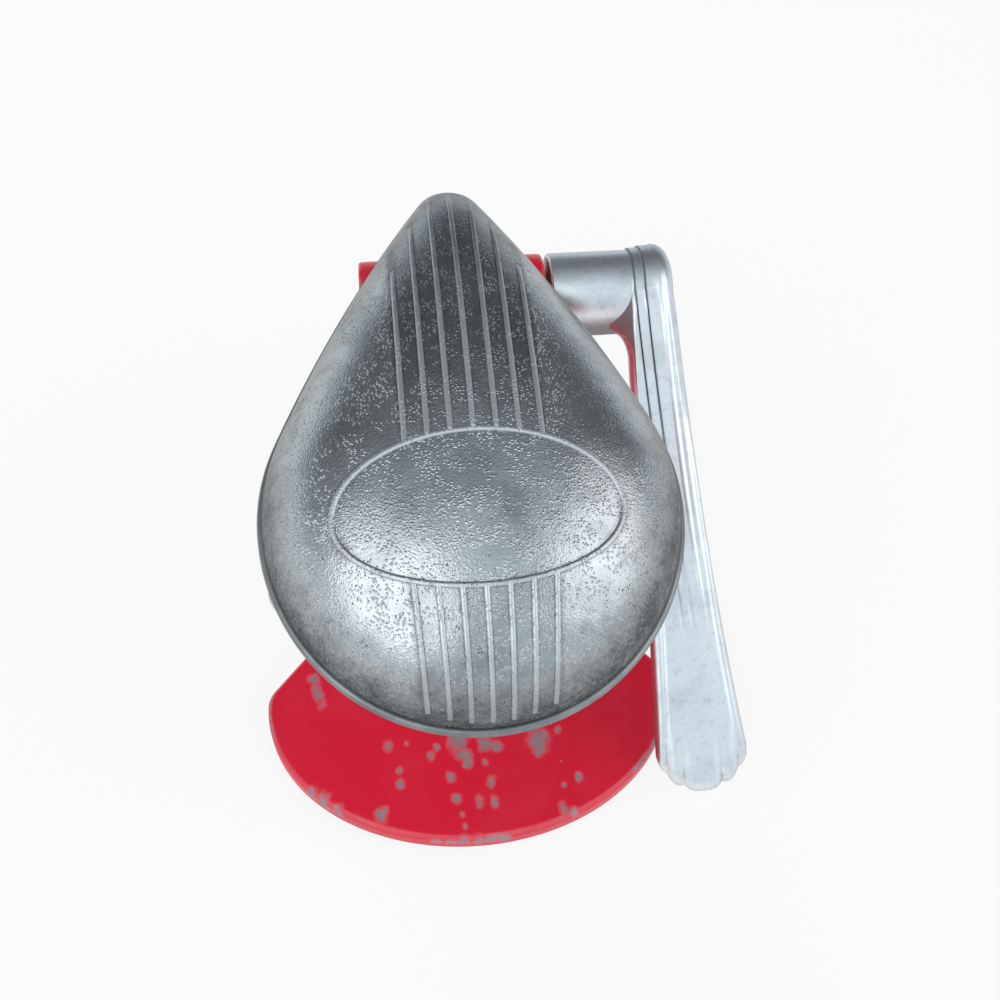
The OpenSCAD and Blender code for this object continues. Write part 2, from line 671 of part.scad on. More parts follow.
base_plate();
base_pad();
column();
column_screws();
ear_bush_left();
ear_bush_right();
bowl_ring();
ring_screws();
rack_guide();
guide_screws();
juice_bowl();
strainer_basket();
reamer_cone();
rack_bar();
lever_handle();
cross_shaft();
drive_pinion();
pinion_pin();
shaft_collar();
hub_screw();
lid_shell();
lid_hinge_pin();
press_cup();
press_stud();
press_washer();
press_nut();
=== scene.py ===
"""Dresses a counter-top lever citrus press: teardrop top, side lever, red enamelled stand."""

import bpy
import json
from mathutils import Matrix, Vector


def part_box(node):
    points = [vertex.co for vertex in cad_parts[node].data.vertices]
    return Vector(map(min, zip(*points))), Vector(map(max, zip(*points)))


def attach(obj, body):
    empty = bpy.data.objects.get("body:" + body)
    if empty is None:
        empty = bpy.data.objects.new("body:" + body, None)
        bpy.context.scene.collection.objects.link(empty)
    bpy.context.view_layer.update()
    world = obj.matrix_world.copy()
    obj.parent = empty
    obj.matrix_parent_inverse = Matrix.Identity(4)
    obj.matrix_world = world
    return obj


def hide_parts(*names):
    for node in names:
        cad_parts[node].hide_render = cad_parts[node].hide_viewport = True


bl_info = {
    "name": "Citrus press",
    "version": (1, 0, 0),
    "blender": (4, 5, 0),
    "location": "View3D > Sidebar > Press",
    "description": "Builds the visible pieces and finishes of a lever citrus press",
    "category": "Object",
}

import json
from bisect import bisect
from functools import cache
from math import asin, atan2, cos, exp, hypot, pi, radians, sin, sqrt, tau

import bpy
from bpy.props import FloatProperty, FloatVectorProperty, PointerProperty
from mathutils import Matrix, Vector

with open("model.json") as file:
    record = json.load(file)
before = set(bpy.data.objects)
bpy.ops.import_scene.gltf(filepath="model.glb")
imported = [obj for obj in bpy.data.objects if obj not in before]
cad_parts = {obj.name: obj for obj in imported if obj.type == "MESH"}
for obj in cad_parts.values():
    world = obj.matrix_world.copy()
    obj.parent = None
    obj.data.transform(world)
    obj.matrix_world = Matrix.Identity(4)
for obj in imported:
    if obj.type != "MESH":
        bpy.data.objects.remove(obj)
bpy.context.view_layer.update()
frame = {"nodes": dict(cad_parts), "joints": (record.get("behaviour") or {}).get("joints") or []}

MM = 0.001
HEAD_TILT = radians(15)
RIM_HEIGHT = 131 * MM
JOINTS = {joint["name"]: joint for joint in frame["joints"]}
SHAFT = Vector(JOINTS["lever_swing"]["pos_m"])
HINGE_BACK, HINGE_UP = 93 * MM, 3 * MM
DOME_POWER = 0.92


# Sizes and colours

def length(name, description, default):
    return FloatProperty(name=name, description=description, default=default, unit="LENGTH", precision=4)


def angle(name, description, degrees):
    return FloatProperty(name=name, description=description, default=radians(degrees), subtype="ANGLE")


def colour(name, description, default):
    return FloatVectorProperty(name=name, description=description, default=default, size=4,
                               subtype="COLOR", min=0, max=1)


class PressSizes(bpy.types.PropertyGroup):
    """Sizes of the pieces that are modelled here"""

    lid_half_width: length("Top half width", "Half of the top's width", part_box("lid_shell")[1].x)
    lid_front: length("Top front", "Reach of the top in front of the bowl's axis", 73 * MM)
    lid_height: length("Top height", "Height of the top over its rim", 37 * MM)
    lid_wall: length("Top wall", "Wall of the top", 2.4 * MM)
    lid_wide_place: length("Widest place", "Place of the top's widest line", -5 * MM)
    tail_bend: angle("Tail bend", "How far the tail's sides bow in", 6)
    tail_place: length("Tail place", "Place of the tail's round end", 98.3 * MM)
    tail_radius: length("Tail radius", "Radius of the tail's round end", 13.5 * MM)
    bead_height: length("Bead height", "Height of the bead round the top's rim", 3.2 * MM)
    bead_overhang: length("Bead overhang", "How far the bead stands out", 1.5 * MM)
    rib_pitch: length("Rib pitch", "Distance from rib to rib", 6.4 * MM)
    rib_width: length("Rib width", "Width of a cast line", 1.75 * MM)
    rib_height: length("Rib height", "Height of a cast line", 0.62 * MM)
    oval_half_width: length("Oval half width", "Half of the bare oval's width", 40.5 * MM)
    oval_half_depth: length("Oval half depth", "Half of the bare oval's depth", 22.0 * MM)
    oval_place: length("Oval place", "Place of the oval's middle", -16.5 * MM)
    base_half_width: length("Base half width", "Half of the base's width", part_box("base_plate")[1].x)
    base_front: length("Base front", "Reach of the base's front oval", -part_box("base_plate")[0].y)
    base_corner: length("Base corner", "Place of the side corners", 4 * MM)
    base_slant: angle("Base slant", "Slant of the base's sides", 40)
    base_neck_radius: length("Neck radius", "Radius of the hollow before the rear lobe", 30 * MM)
    base_rear: length("Base rear", "Place of the rear lobe", 82 * MM)
    base_rear_radius: length("Rear radius", "Radius of the rear lobe", 34 * MM)
    base_round: length("Base rounding", "Rounding of the base's upper edge", 2.5 * MM)
    base_wall: length("Base wall", "Wall of the base's casting", 3 * MM)
    arm_inner: length("Arm inner face", "Distance of the arm's inner face from the middle plane", 66 * MM)
    arm_root_width: length("Arm root width", "Width of the arm at the hub", 15 * MM)
    arm_grip_width: length("Arm grip width", "Width of the arm at the grip", 34.5 * MM)
    arm_flare: length("Arm flare", "Reach of the fillet between hub and arm", 8.5 * MM)
    arm_length: length("Arm length", "Length from the shaft to the grip's corners", 170 * MM)
    arm_top: length("Arm top", "Height of the arm's lowest step over the shaft", 15.2 * MM)
    grip_bow: length("Grip bow", "Bow of the grip's lobed end", 16.5 * MM)
    arm_under: length("Arm underside", "Height of the arm's underside over the shaft", 8.5 * MM)
    arm_drop: angle("Arm slope", "Slope of the resting lever", 42)


class PressColours(bpy.types.PropertyGroup):
    """Colours of the finishes"""

    enamel: colour("Enamel", "Red enamel of the stand", (0.80, 0.009, 0.040, 1))
    # Lighter enamel: worn thin round the chips and along edges, and partly a painted highlight on the
    # rounded edges
    worn_and_lit_enamel: colour("Worn enamel", "Thin enamel along edges", (0.86, 0.085, 0.11, 1))
    bare_metal: colour("Bare metal", "Grey metal under the enamel", (0.28, 0.27, 0.29, 1))
    pale_metal: colour("Pale bare metal", "Pale flecks in that metal", (0.40, 0.38, 0.42, 1))
    casting: colour("Bright casting", "Polished metal of the top", (0.60, 0.62, 0.63, 1))
    tarnish: colour("Tarnish", "Dulled metal of the top", (0.23, 0.24, 0.245, 1))
    # Colour of painted shade: on the top near its rim, on its bead and beside its cast lines, and on the
    # lever's step lines and under its hub
    painted_shade: colour("Grime", "Dark film near the rim of the top", (0.085, 0.09, 0.095, 1))
    rubbed: colour("Rubbed metal", "Cast lines of the top, rubbed bright", (0.66, 0.67, 0.68, 1))
    pit: colour("Pits", "Dirt in the pits of the top", (0.045, 0.045, 0.045, 1))
    satin: colour("Satin casting", "Metal of the lever", (0.82, 0.85, 0.88, 1))
    satin_dull: colour("Dull satin", "Clouds in the lever's metal", (0.48, 0.49, 0.52, 1))
    satin_mottle: colour("Mottled satin", "Fine mottling of the lever's metal", (0.46, 0.48, 0.52, 1))
    edge_tint: colour("Edge tint", "Tint of cast metal seen edge-on", (0.68, 0.68, 0.68, 1))
    spun: colour("Spun sheet", "Metal of bowl, strainer, reamer and cup", (0.70, 0.71, 0.72, 1))
    steel: colour("Steel", "Machined steel of the drive", (0.50, 0.50, 0.51, 1))
    oil: colour("Oil", "Old oil on the drive", (0.20, 0.185, 0.17, 1))
    black_steel: colour("Black steel", "Blackened screws and pins", (0.10, 0.10, 0.11, 1))
    black_rubbed: colour("Rubbed black steel", "Screws where they are rubbed", (0.33, 0.32, 0.32, 1))
    bronze: colour("Bronze", "Bushes of the shaft", (0.55, 0.33, 0.13, 1))
    bronze_stain: colour("Stained bronze", "Dark stains on the bushes", (0.22, 0.14, 0.07, 1))
    rubber: colour("Rubber", "Pad under the base", (0.02, 0.02, 0.02, 1))
    dust: colour("Dust", "Dust on the pad", (0.07, 0.068, 0.065, 1))


def sizes():
    return bpy.context.scene.press_sizes


def colours():
    return bpy.context.scene.press_colours


# Modelling helpers

def clear_selection():
    """Leaves edit mode and deselects everything."""
    active = bpy.context.view_layer.objects.active
    if active and active.mode != "OBJECT":
        bpy.ops.object.mode_set(mode="OBJECT")
    bpy.ops.object.select_all(action="DESELECT")


def named(name):
    piece = bpy.context.object
    piece.name = piece.data.name = name
    return piece


def take(piece):
    clear_selection()
    piece.select_set(True)
    bpy.context.view_layer.objects.active = piece


def close_mesh(piece, gap=1e-6):
    """Merges the seam and the poles and turns every face outwards."""
    take(piece)
    bpy.ops.object.mode_set(mode="EDIT")
    bpy.ops.mesh.select_all(action="SELECT")
    bpy.ops.mesh.remove_doubles(threshold=gap)
    bpy.ops.mesh.dissolve_degenerate(threshold=gap)
    bpy.ops.mesh.normals_make_consistent(inside=False)
    bpy.ops.object.mode_set(mode="OBJECT")


def wrapped(name, across, along, place):
    """A grid laid over a surface: place(u, v) gives the point for u and v from 0 to 1."""
    clear_selection()
    bpy.ops.mesh.primitive_grid_add(x_subdivisions=across, y_subdivisions=along, size=1)
    piece = named(name)
    for vertex in piece.data.vertices:
        vertex.co = place(vertex.co.x + 0.5, vertex.co.y + 0.5)
    close_mesh(piece)
    return piece


def turned(name, section, place, steps):
    """A lathe piece: the closed section of radius and height in mm is spun, then place(x, y, z) sets it."""
    clear_selection()
    bpy.ops.mesh.primitive_circle_add(vertices=len(section), radius=1)
    piece = named(name)
    for vertex, (radius, height) in zip(piece.data.vertices, section):
        vertex.co = (radius * MM, 0, height * MM)
    bpy.ops.object.mode_set(mode="EDIT")
    bpy.ops.mesh.select_all(action="SELECT")
    bpy.ops.mesh.spin(steps=steps, angle=tau, center=(0, 0, 0), axis=(0, 0, 1))
    bpy.ops.object.mode_set(mode="OBJECT")
    for vertex in piece.data.vertices:
        vertex.co = place(*vertex.co)
    close_mesh(piece)
    return piece


def modify(piece, kind, **settings):
    """Adds a modifier with these settings and applies it."""
    take(piece)
    bpy.ops.object.modifier_add(type=kind)
    modifier = piece.modifiers[-1]
    for key, value in settings.items():
        setattr(modifier, key, value)
    bpy.ops.object.modifier_apply(modifier=modifier.name)


def disc(name, radius, depth, vertices=48):
    """A round disc about the z axis."""
    clear_selection()
    bpy.ops.mesh.primitive_cylinder_add(vertices=vertices, radius=radius, depth=depth)
    return named(name)


def bevelled(piece, width, segments):
    """Rounds the sharp edges of a piece."""
    modify(piece, "BEVEL", width=width, segments=segments, limit_method="ANGLE", angle_limit=radians(40))


def joined(name, pieces):
    take(pieces[0])
    for piece in pieces[1:]:
        piece.select_set(True)
    bpy.ops.object.join()
    return named(name)


def softened(node, name, voxel, rounds):
    """A copy of a CAD casting whose edges are rounded as a sand casting's are."""
    piece = bpy.data.objects.new(name, frame["nodes"][node].data.copy())
    bpy.context.scene.collection.objects.link(piece)
    piece.data.name = name
    piece.data.materials.clear()
    close_mesh(piece)
    modify(piece, "REMESH", mode="VOXEL", voxel_size=voxel)
    modify(piece, "SMOOTH", factor=0.5, iterations=rounds)
    return piece


def dressed(piece, finish, body, slot, *nodes, crease=35):
    """Gives a piece its finish and shading, and ties it to its body and CAD nodes. The slot is not used."""
    take(piece)
    bpy.ops.object.shade_smooth_by_angle(angle=radians(crease))
    piece.data.materials.clear()
    piece.data.materials.append(finish)
    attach(piece, body)
    if nodes:
        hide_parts(*nodes)
    clear_selection()


def refinish(finish, *nodes):
    """Puts a finish on CAD nodes that are shown as they are."""
    for node in nodes:
        mesh = frame["nodes"][node].data
        mesh.materials.clear()
        mesh.materials.append(finish)


def head_point(x, y, z):
    """A point given in the tilted head's frame, y back along the rim and z square on it."""
    return Vector((x, y * cos(HEAD_TILT) - z * sin(HEAD_TILT),
                   RIM_HEIGHT + y * sin(HEAD_TILT) + z * cos(HEAD_TILT)))


def lever_point(x, y, z):
    """A point given in the lever's frame: y back along the arm, z square on its top face."""
    drop = sizes().arm_drop
    return Vector((x, SHAFT.y + y * cos(drop) - z * sin(drop), SHAFT.z + y * sin(drop) + z * cos(drop)))


def smooth(value):
    """Smooth step from 0 to 1."""
    value = min(max(value, 0.0), 1.0)
    return value * value * (3 - 2 * value)


def bell(distance, width):
    """1 at no distance, fading to 0 over about twice the width."""
    return exp(-(distance / width) ** 2)


def bent(start, bend, end, t):
    """Point at t of a parabola that leaves start and reaches end along the lines to bend."""
    return start * (1 - t) ** 2 + bend * 2 * t * (1 - t) + end * t * t


# Shader maths

class Sock:
    """A shader socket that Python operators join with Math nodes."""

    def __init__(self, finish, socket):
        self.finish, self.socket = finish, socket

    def math(self, operation, other, flip=False):
        pair = (other, self) if flip else (self, other)
        return self.finish.node("ShaderNodeMath", {"operation": operation}, {0: pair[0], 1: pair[1]})

    def __add__(self, other):
        return self.math("ADD", other)

    def __sub__(self, other):
        return self.math("SUBTRACT", other)

    def __rsub__(self, other):
        return self.math("SUBTRACT", other, True)

    def __mul__(self, other):
        return self.math("MULTIPLY", other)

    __radd__, __rmul__ = __add__, __mul__

    def most(self, other):
        return self.math("MAXIMUM", other)

    def ramp(self, low, high):
        """0 at low and under, 1 at high and over, smooth between."""
        return self.finish.node("ShaderNodeMapRange", {"interpolation_type": "SMOOTHSTEP"},
                                {"Value": self, 1: low, 2: high})


class Finish:
    """A node material built from Python expressions."""

    def __init__(self, name, tree=None):
        if tree is None:
            self.material = bpy.data.materials.new(name)
            self.material.use_nodes = True
            tree = self.material.node_tree
        self.tree = tree
        tree.nodes.clear()

    def node(self, kind, settings=None, values=None, out=0):
        made = self.tree.nodes.new(kind)
        for key, value in (settings or {}).items():
            setattr(made, key, value)
        for key, value in (values or {}).items():
            if isinstance(value, Sock):
                self.tree.links.new(value.socket, made.inputs[key])
            else:
                made.inputs[key].default_value = value
        return Sock(self, made.outputs[out]) if made.outputs else made

    def place(self):
        return self.node("ShaderNodeTexCoord", out="Object")

    def stretched(self, scale):
        return self.node("ShaderNodeMapping", values={"Vector": self.place(), "Scale": scale})

    def split(self, vector):
        """The three numbers of a vector."""
        first = self.node("ShaderNodeSeparateXYZ", values={0: vector})
        return [Sock(self, output) for output in first.socket.node.outputs]

    def noise(self, scale, detail=2.0, rough=0.5, where=None, out="Fac"):
        return self.node("ShaderNodeTexNoise", values={
            "Vector": where or self.place(), "Scale": scale, "Detail": detail, "Roughness": rough}, out=out)

    def cells(self, scale, where=None):
        return self.node("ShaderNodeTexVoronoi", values={
            "Vector": where or self.place(), "Scale": scale}, out="Distance")

    def mix(self, share, first, second):
        return self.node("ShaderNodeMix", {"data_type": "RGBA"}, {0: share, 6: first, 7: second}, out=2)

    def bump(self, height, strength, depth):
        return self.node("ShaderNodeBump", values={
            "Height": height, "Strength": strength, "Distance": depth})

    def done(self, **values):
        """Ends in a Principled BSDF with these socket values and returns the material."""
        shader = self.node("ShaderNodeBsdfPrincipled",
                           values={key.replace("_", " "): value for key, value in values.items()})
        self.node("ShaderNodeOutputMaterial", values={"Surface": shader})
        return self.material


# Paint chips on the base's top and rim: place and radius in millimetres
CHIPS = ((-6, -22, 9, 3.6), (-4.6, -26.5, 9, 2.8), (-3.6, -30.3, 9, 2.1), (3.5, -23.5, 9, 2.5),
         (8.5, -25, 9, 2), (3, -30.5, 9, 1.2), (24, -24, 9, 3.5), (26.5, -22.3, 9, 2.4), (24, -28, 9, 2),
         (32, -20, 9, 1.3), (-33, -21, 9, 1.8), (-26, -20.5, 9, 0.9), (-17.2, -26.5, 9, 1.5),
         (-14.5, -23, 9, 1.2), (-29, -31, 9, 1.3), (-29, -36.5, 9, 1.5), (-10, -35.5, 9, 1.7),
         (-8.5, -44, 9, 1.8), (0, -46, 9, 1.8), (5, -46.5, 9, 1.8), (5, -38.5, 9, 1.8), (-7, -50.5, 9, 1),
         (-6.5, -55, 9, 1), (37.5, -40, 9, 1.5), (31.5, -42.5, 9, 1), (-36.5, -48, 9, 2.2),
         (-35.4, -46.2, 9, 1.6), (-61, 10, 9, 1.9), (-60.2, 6.2, 9, 2.1), (-59, 2.4, 9, 1.9),
         (-57.5, -1.4, 9, 1.6), (-61, -36.5, 7, 2.4), (-57, -40.5, 7, 2.8), (-52.5, -44, 7, 2.4),
         (-17, -58.5, 6.5, 2), (-12, -59, 6.5, 2.2),
         (-7, -59.5, 6.5, 2.3), (-2, -60, 6.5, 2.3), (3, -60, 6.5, 2.3), (8, -59.5, 6.5, 2.2),
         (30, -51, 8.5, 1.9), (34, -52.5, 8, 1.7))
# Each chip fades out over a wider reach and is longer from front to back than it is wide
CHIP_FADE, CHIP_STRETCH = 2.1, 0.8


def chipped_enamel():
    """Red enamel, chipped to the metal on the base's top and rim and worn thin along edges; the lighter band
    on the rounded edges is partly that wear and partly a painted highlight.
    """
    tint, make = colours(), Finish("chipped_enamel")
    ragged = make.noise(230, 3, 0.55)
    drawn = make.stretched((1, CHIP_STRETCH, 1))
    chips = None
    for x, y, z, radius in CHIPS:
        far = make.node("ShaderNodeVectorMath", {"operation": "DISTANCE"}, {
            0: drawn, 1: (x * MM, y * CHIP_STRETCH * MM, z * MM)}, out="Value")
        near = far.ramp(radius * CHIP_FADE * MM, 0) * min(0.72 + radius * 0.07, 1)
        chips = near if chips is None else chips.most(near)
    chips = chips + (ragged - 0.5) * 1.3 * chips.ramp(0, 0.3)
    facing = make.node("ShaderNodeTexCoord", out="Normal")
    upward = make.split(facing)[2]
    edge = upward.ramp(0.28, 0.5) * upward.ramp(0.99, 0.85)
    patches = make.noise(38, 3, 0.6)
    flecks = make.noise(260, 2, 0.55)
    rubbed = edge * patches.ramp(0.50, 0.66) * flecks.ramp(0.34, 0.52)
    specks = flecks.ramp(0.72, 0.78) * patches.ramp(0.45, 0.6)
    bare = chips.ramp(0.32, 0.92).most(rubbed).most(specks * 0.7) * (0.72 + flecks * 0.35)
    # The lighter band on the rounded edges is partly wear and partly a painted highlight
    halo_and_edge_sheen = (chips.ramp(0.14, 0.45) * 0.8).most(edge * 0.9)
    cloud = make.noise(55, 2)
    paint = make.mix(halo_and_edge_sheen * 0.8 + cloud.ramp(0.45, 0.75) * 0.1, tint.enamel[:], tint.worn_and_lit_enamel[:])
    metal = make.mix(flecks, tint.bare_metal[:], tint.pale_metal[:])
    ripple = make.noise(700, 2)
    return make.done(
        Base_Color=make.mix(bare, paint, metal), Metallic=bare * 0.45,
        Roughness=0.32 + bare * 0.30 + cloud * 0.10, Coat_Weight=0.12 - bare * 0.12, Coat_Roughness=0.15,
        Specular_IOR_Level=0.32, Normal=make.bump(ripple * 0.2 - bare, 0.35, 0.22 * MM))


def pitted_casting():
    """Cast metal of the top: pitted and rubbed bright on its lines, with painted shade towards the rim, on
    the bead and beside the lines, and painted glints on its pimples.
    """
    s, tint, make = sizes(), colours(), Finish("pitted_casting")
    head = make.node("ShaderNodeMapping", {"vector_type": "TEXTURE"}, {
        "Vector": make.place(), "Location": (0, 0, RIM_HEIGHT), "Rotation": (HEAD_TILT, 0, 0)})
    across, back, height = make.split(head)
    bead_top = s.bead_height
    rear = back.ramp(-25 * MM, 5 * MM)
    line = make.node("ShaderNodeAttribute", {"attribute_name": "cast_line"}, out="Fac")
    line = line * (1.0 - back.ramp(30 * MM, 100 * MM) * 0.75)
    cloud = make.noise(32, 4, 0.62)
    stain = make.noise(120, 3, 0.6)
    grain = make.noise(1500, 2, 0.6)
    worm = make.noise(720, 3, 0.65)
    calm = 1.0 - back.ramp(62 * MM, 92 * MM) * 0.75
    bead = height.ramp(bead_top + 0.4 * MM, bead_top + 0.1 * MM) * height.ramp(-0.5 * MM, 0.3 * MM)
    calm = calm * (1.0 - bead)
    # Pimples: raised grains in the bump, also painted lighter as glints further down
    pimples_and_glints = make.cells(1080).ramp(0.46, 0.12) * make.noise(190, 2).ramp(0.38, 0.56) * calm
    worn = (across.ramp(14 * MM, 36 * MM) * 0.8).most(across.ramp(-20 * MM, -46 * MM) * 0.5)
    pimples_and_glints = pimples_and_glints * (1.0 - worn * rear)
    # Painted shade: a dark line along the crease over the bead; further down the bead itself is painted
    # darker too
    seam = height.ramp(bead_top, bead_top + 0.4 * MM) * height.ramp(bead_top + 2 * MM, bead_top + 0.8 * MM)
    ahead = back.ramp(45 * MM, -25 * MM)
    mottle = 0.2 + stain * 0.8 + worm * 1.1
    # Painted shade: the top is darkened towards its rim, most at its lower front, with mottled strength
    low = height - across.ramp(12 * MM, 48 * MM) * ahead * 4 * MM
    painted_shade = low.ramp(27 * MM, 6 * MM) * (0.6 + ahead * 0.5) * mottle * (1.0 - bead)
    fan = 1.0 - FRONT_FAN * (back - (s.oval_place - s.oval_half_depth)).math("MINIMUM", 0)
    fan = fan - REAR_FAN * (back - (s.oval_place + s.oval_half_depth)).most(0)
    across = across * fan
    # Painted shadow along both sides of each rib and of the oval line, thinned by the stain noise
    beside = across.math("PINGPONG", s.rib_pitch / 2).ramp(1.6 * MM, 0.75 * MM)
    wide, deep = across * (1 / s.oval_half_width), (back - s.oval_place) * (1 / s.oval_half_depth)
    ring = (wide * wide + deep * deep).math("POWER", 0.5)
    field, last_rib = across.math("ABSOLUTE", 0), RIBS_BESIDE * s.rib_pitch
    ribbed = field.ramp(last_rib + 0.4 * s.rib_pitch, last_rib + 0.2 * s.rib_pitch) * ring.ramp(1.0, 1.03)
    rimmed = ring.ramp(0.93, 0.98) * ring.ramp(1.07, 1.02)
    line_shadow = (beside * ribbed).most(rimmed) * (1.0 - line) * stain.ramp(0.3, 0.6)
    dull = cloud.ramp(0.44, 0.66) * 0.38 + stain.ramp(0.48, 0.7) * 0.3
    shifted = make.node("ShaderNodeMapping", values={
        "Vector": make.place(), "Location": (0.37, 0.21, 0.53)})
    uneven = make.noise(560, 2) * 0.6
    pits = (make.cells(940, shifted) + uneven).ramp(0.50, 0.40) * make.noise(75, 2).ramp(0.40, 0.58)
    specks = (make.cells(480, shifted) + uneven).ramp(0.37, 0.31) * stain.ramp(0.40, 0.52)
    dirt = pits.most(specks) * (1.0 - line * 0.8) * calm
    metal = make.mix(dull, tint.casting[:], tint.tarnish[:])
    metal = make.mix(worm.ramp(0.5, 0.72) * 0.2, metal, tint.tarnish[:])
    # All painted shade of the top, mixed towards the shade colour
    shade_share = (painted_shade * 0.7).most(line_shadow * 0.5).most(seam * 0.6).most(bead * 0.56)
    metal = make.mix(shade_share, metal, tint.painted_shade[:])
    # Painted glints: the pimples are mixed towards the bright rubbed colour
    metal = make.mix(pimples_and_glints * 0.38, metal, tint.rubbed[:])
    # Painted shade on the ground between the ribs, stronger towards the back
    between = ribbed * (back.ramp(0, 30 * MM) * 0.4 + (1.0 - rear) * 0.22) * (1.0 - line)
    metal = make.mix(between, metal, tint.painted_shade[:])
    metal = make.mix(line * (0.4 + rear * 0.25), metal, tint.rubbed[:])
    return make.done(
        Base_Color=make.mix(dirt * 0.85, metal, tint.pit[:]), Metallic=1.0 - dirt * 0.4,
        Roughness=0.19 + dull * 0.15 + dirt * 0.3 + painted_shade * 0.12 + line * (0.16 + rear * 0.14) + bead * 0.2,
        Specular_Tint=tint.edge_tint[:],
        Normal=make.bump((grain * 0.5 + worm * 0.25 - dirt * 0.35) * (1.0 - bead) + pimples_and_glints * 0.78, 0.55,
                         0.4 * MM))


def satin_casting():
    """Satin metal of the lever, with painted shade along its step lines and under the front of its hub."""
    tint, make = colours(), Finish("satin_casting")
    shade_marks = make.node("ShaderNodeAttribute", {"attribute_name": "step_shade"}, out="Fac")
    cloud = make.noise(60, 3, 0.6)
    brushed = make.noise(1, 2, 0.6, make.stretched((2200, 110, 110)))
    grain = make.noise(900, 2, 0.6)
    mottle = make.noise(330, 3, 0.6)
    metal = make.mix(cloud.ramp(0.42, 0.7) * 0.35, tint.satin[:], tint.satin_dull[:])
    metal = make.mix(mottle.ramp(0.5, 0.72) * 0.3, metal, tint.satin_mottle[:])
    metal = make.mix(grain.ramp(0.6, 0.75) * 0.25, metal, tint.tarnish[:])
    return make.done(
        Base_Color=make.mix(shade_marks * 0.9, metal, tint.painted_shade[:]), Metallic=1.0,
        Specular_Tint=tint.edge_tint[:],
        Roughness=0.27 + cloud * 0.14 + brushed * 0.06 + shade_marks * 0.2,
        Normal=make.bump(grain * 0.6 + brushed * 0.4 + mottle * 0.5, 0.12, 0.25 * MM))


def spun_sheet():
    """Spun sheet metal, clouded and finely marked."""
    tint, make = colours(), Finish("spun_sheet")
    cloud = make.noise(70, 3)
    marks = make.noise(1100, 2, 0.7)
    metal = make.mix(cloud.ramp(0.4, 0.7) * 0.35, tint.spun[:], tint.tarnish[:])
    return make.done(Base_Color=metal, Metallic=1.0, Roughness=0.30 + cloud * 0.12,
                     Normal=make.bump(marks, 0.08, 0.2 * MM))


def machined_steel():
    """Machined steel with tool lines and old oil."""
    tint, make = colours(), Finish("machined_steel")
    cloud = make.noise(120, 3)
    lines = make.noise(1, 2, 0.6, make.stretched((1800, 260, 260)))
    oily = make.mix(cloud.ramp(0.5, 0.72) * 0.5, tint.steel[:], tint.oil[:])
    return make.done(Base_Color=oily, Metallic=1.0, Roughness=0.28 + lines * 0.16,
                     Normal=make.bump(lines, 0.12, 0.2 * MM))


def black_steel():
    """Blackened steel, rubbed in places."""
    tint, make = colours(), Finish("black_steel")
    cloud = make.noise(400, 3)
    rubbed = make.mix(cloud.ramp(0.55, 0.72), tint.black_steel[:], tint.black_rubbed[:])
    return make.done(Base_Color=rubbed, Metallic=1.0, Roughness=0.38 + cloud * 0.15,
                     Normal=make.bump(cloud, 0.1, 0.2 * MM))


def turned_bronze():
    """Turned bronze with dark stains."""
    tint, make = colours(), Finish("turned_bronze")
    rings = make.noise(1, 2, 0.6, make.stretched((2600, 120, 120)))
    stain = make.noise(260, 3)
    metal = make.mix(stain.ramp(0.5, 0.7) * 0.6, tint.bronze[:], tint.bronze_stain[:])
    return make.done(Base_Color=metal, Metallic=1.0, Roughness=0.30 + rings * 0.15,
                     Normal=make.bump(rings, 0.12, 0.15 * MM))


def grained_rubber():
    """Grained rubber with a little dust."""
    tint, make = colours(), Finish("grained_rubber")
    grain = make.noise(1300, 2)
    dust = make.noise(150, 3)
    black = make.mix(dust.ramp(0.5, 0.75) * 0.4, tint.rubber[:], tint.dust[:])
    return make.done(Base_Color=black, Roughness=0.72 + grain * 0.15,
                     Normal=make.bump(grain, 0.3, 0.3 * MM))


# Base

# Reach of the rounding at the side corners, and how closely two heights have to agree
CORNER_ROUND, NEARLY = 4 * MM, 0.1 * MM
# Steps along the outline: the whole front oval, then one side's corner, hollow neck and rear lobe
FRONT_STEPS, CORNER_STEPS, NECK_STEPS, LOBE_STEPS = 96, 8, 14, 24


def base_outline():
    """Plan of the base: half an oval, two corners, two slanted sides, a hollow neck and a rear lobe."""
    s = sizes()
    width, rear, lobe, hollow = s.base_half_width, s.base_rear, s.base_rear_radius, s.base_neck_radius
    out = Vector((cos(s.base_slant), sin(s.base_slant)))
    run = Vector((-out.y, out.x))
    corner, back = Vector((width, s.base_corner)), Vector((0, rear))
    off = out.dot(corner) + hollow
    neck = out * off + run * (run.dot(back) - sqrt((lobe + hollow) ** 2 - (out.dot(back) - off) ** 2))
    meet = atan2(neck.y - rear, neck.x)
    turns = [pi * k / FRONT_STEPS for k in range(FRONT_STEPS + 1)]
    front = [Vector((-width * cos(turn), -s.base_front * sin(turn))) for turn in turns]
    first, last = corner - Vector((0, CORNER_ROUND)), corner + run * CORNER_ROUND
    side = [bent(first, corner, last, k / CORNER_STEPS) for k in range(1, CORNER_STEPS + 1)]
    for k in range(NECK_STEPS + 1):
        turn = pi + s.base_slant + (meet - s.base_slant) * k / NECK_STEPS
        side.append(neck + hollow * Vector((cos(turn), sin(turn))))
    for k in range(1, LOBE_STEPS + 1):
        turn = meet + (pi / 2 - meet) * k / LOBE_STEPS
        side.append(back + lobe * Vector((cos(turn), sin(turn))))
    return front + side + [Vector((-point.x, point.y)) for point in reversed(side[:-1])]


def pick(piece, kind, wanted):
    """Selects in edit mode only the faces or edges that the test wants."""
    bpy.ops.object.mode_set(mode="EDIT")
    bpy.ops.mesh.select_mode(type=kind)
    bpy.ops.mesh.select_all(action="DESELECT")
    bpy.ops.object.mode_set(mode="OBJECT")
    items = piece.data.polygons if kind == "FACE" else piece.data.edges
    for item in items:
        item.select = wanted(item)
    bpy.ops.object.mode_set(mode="EDIT")


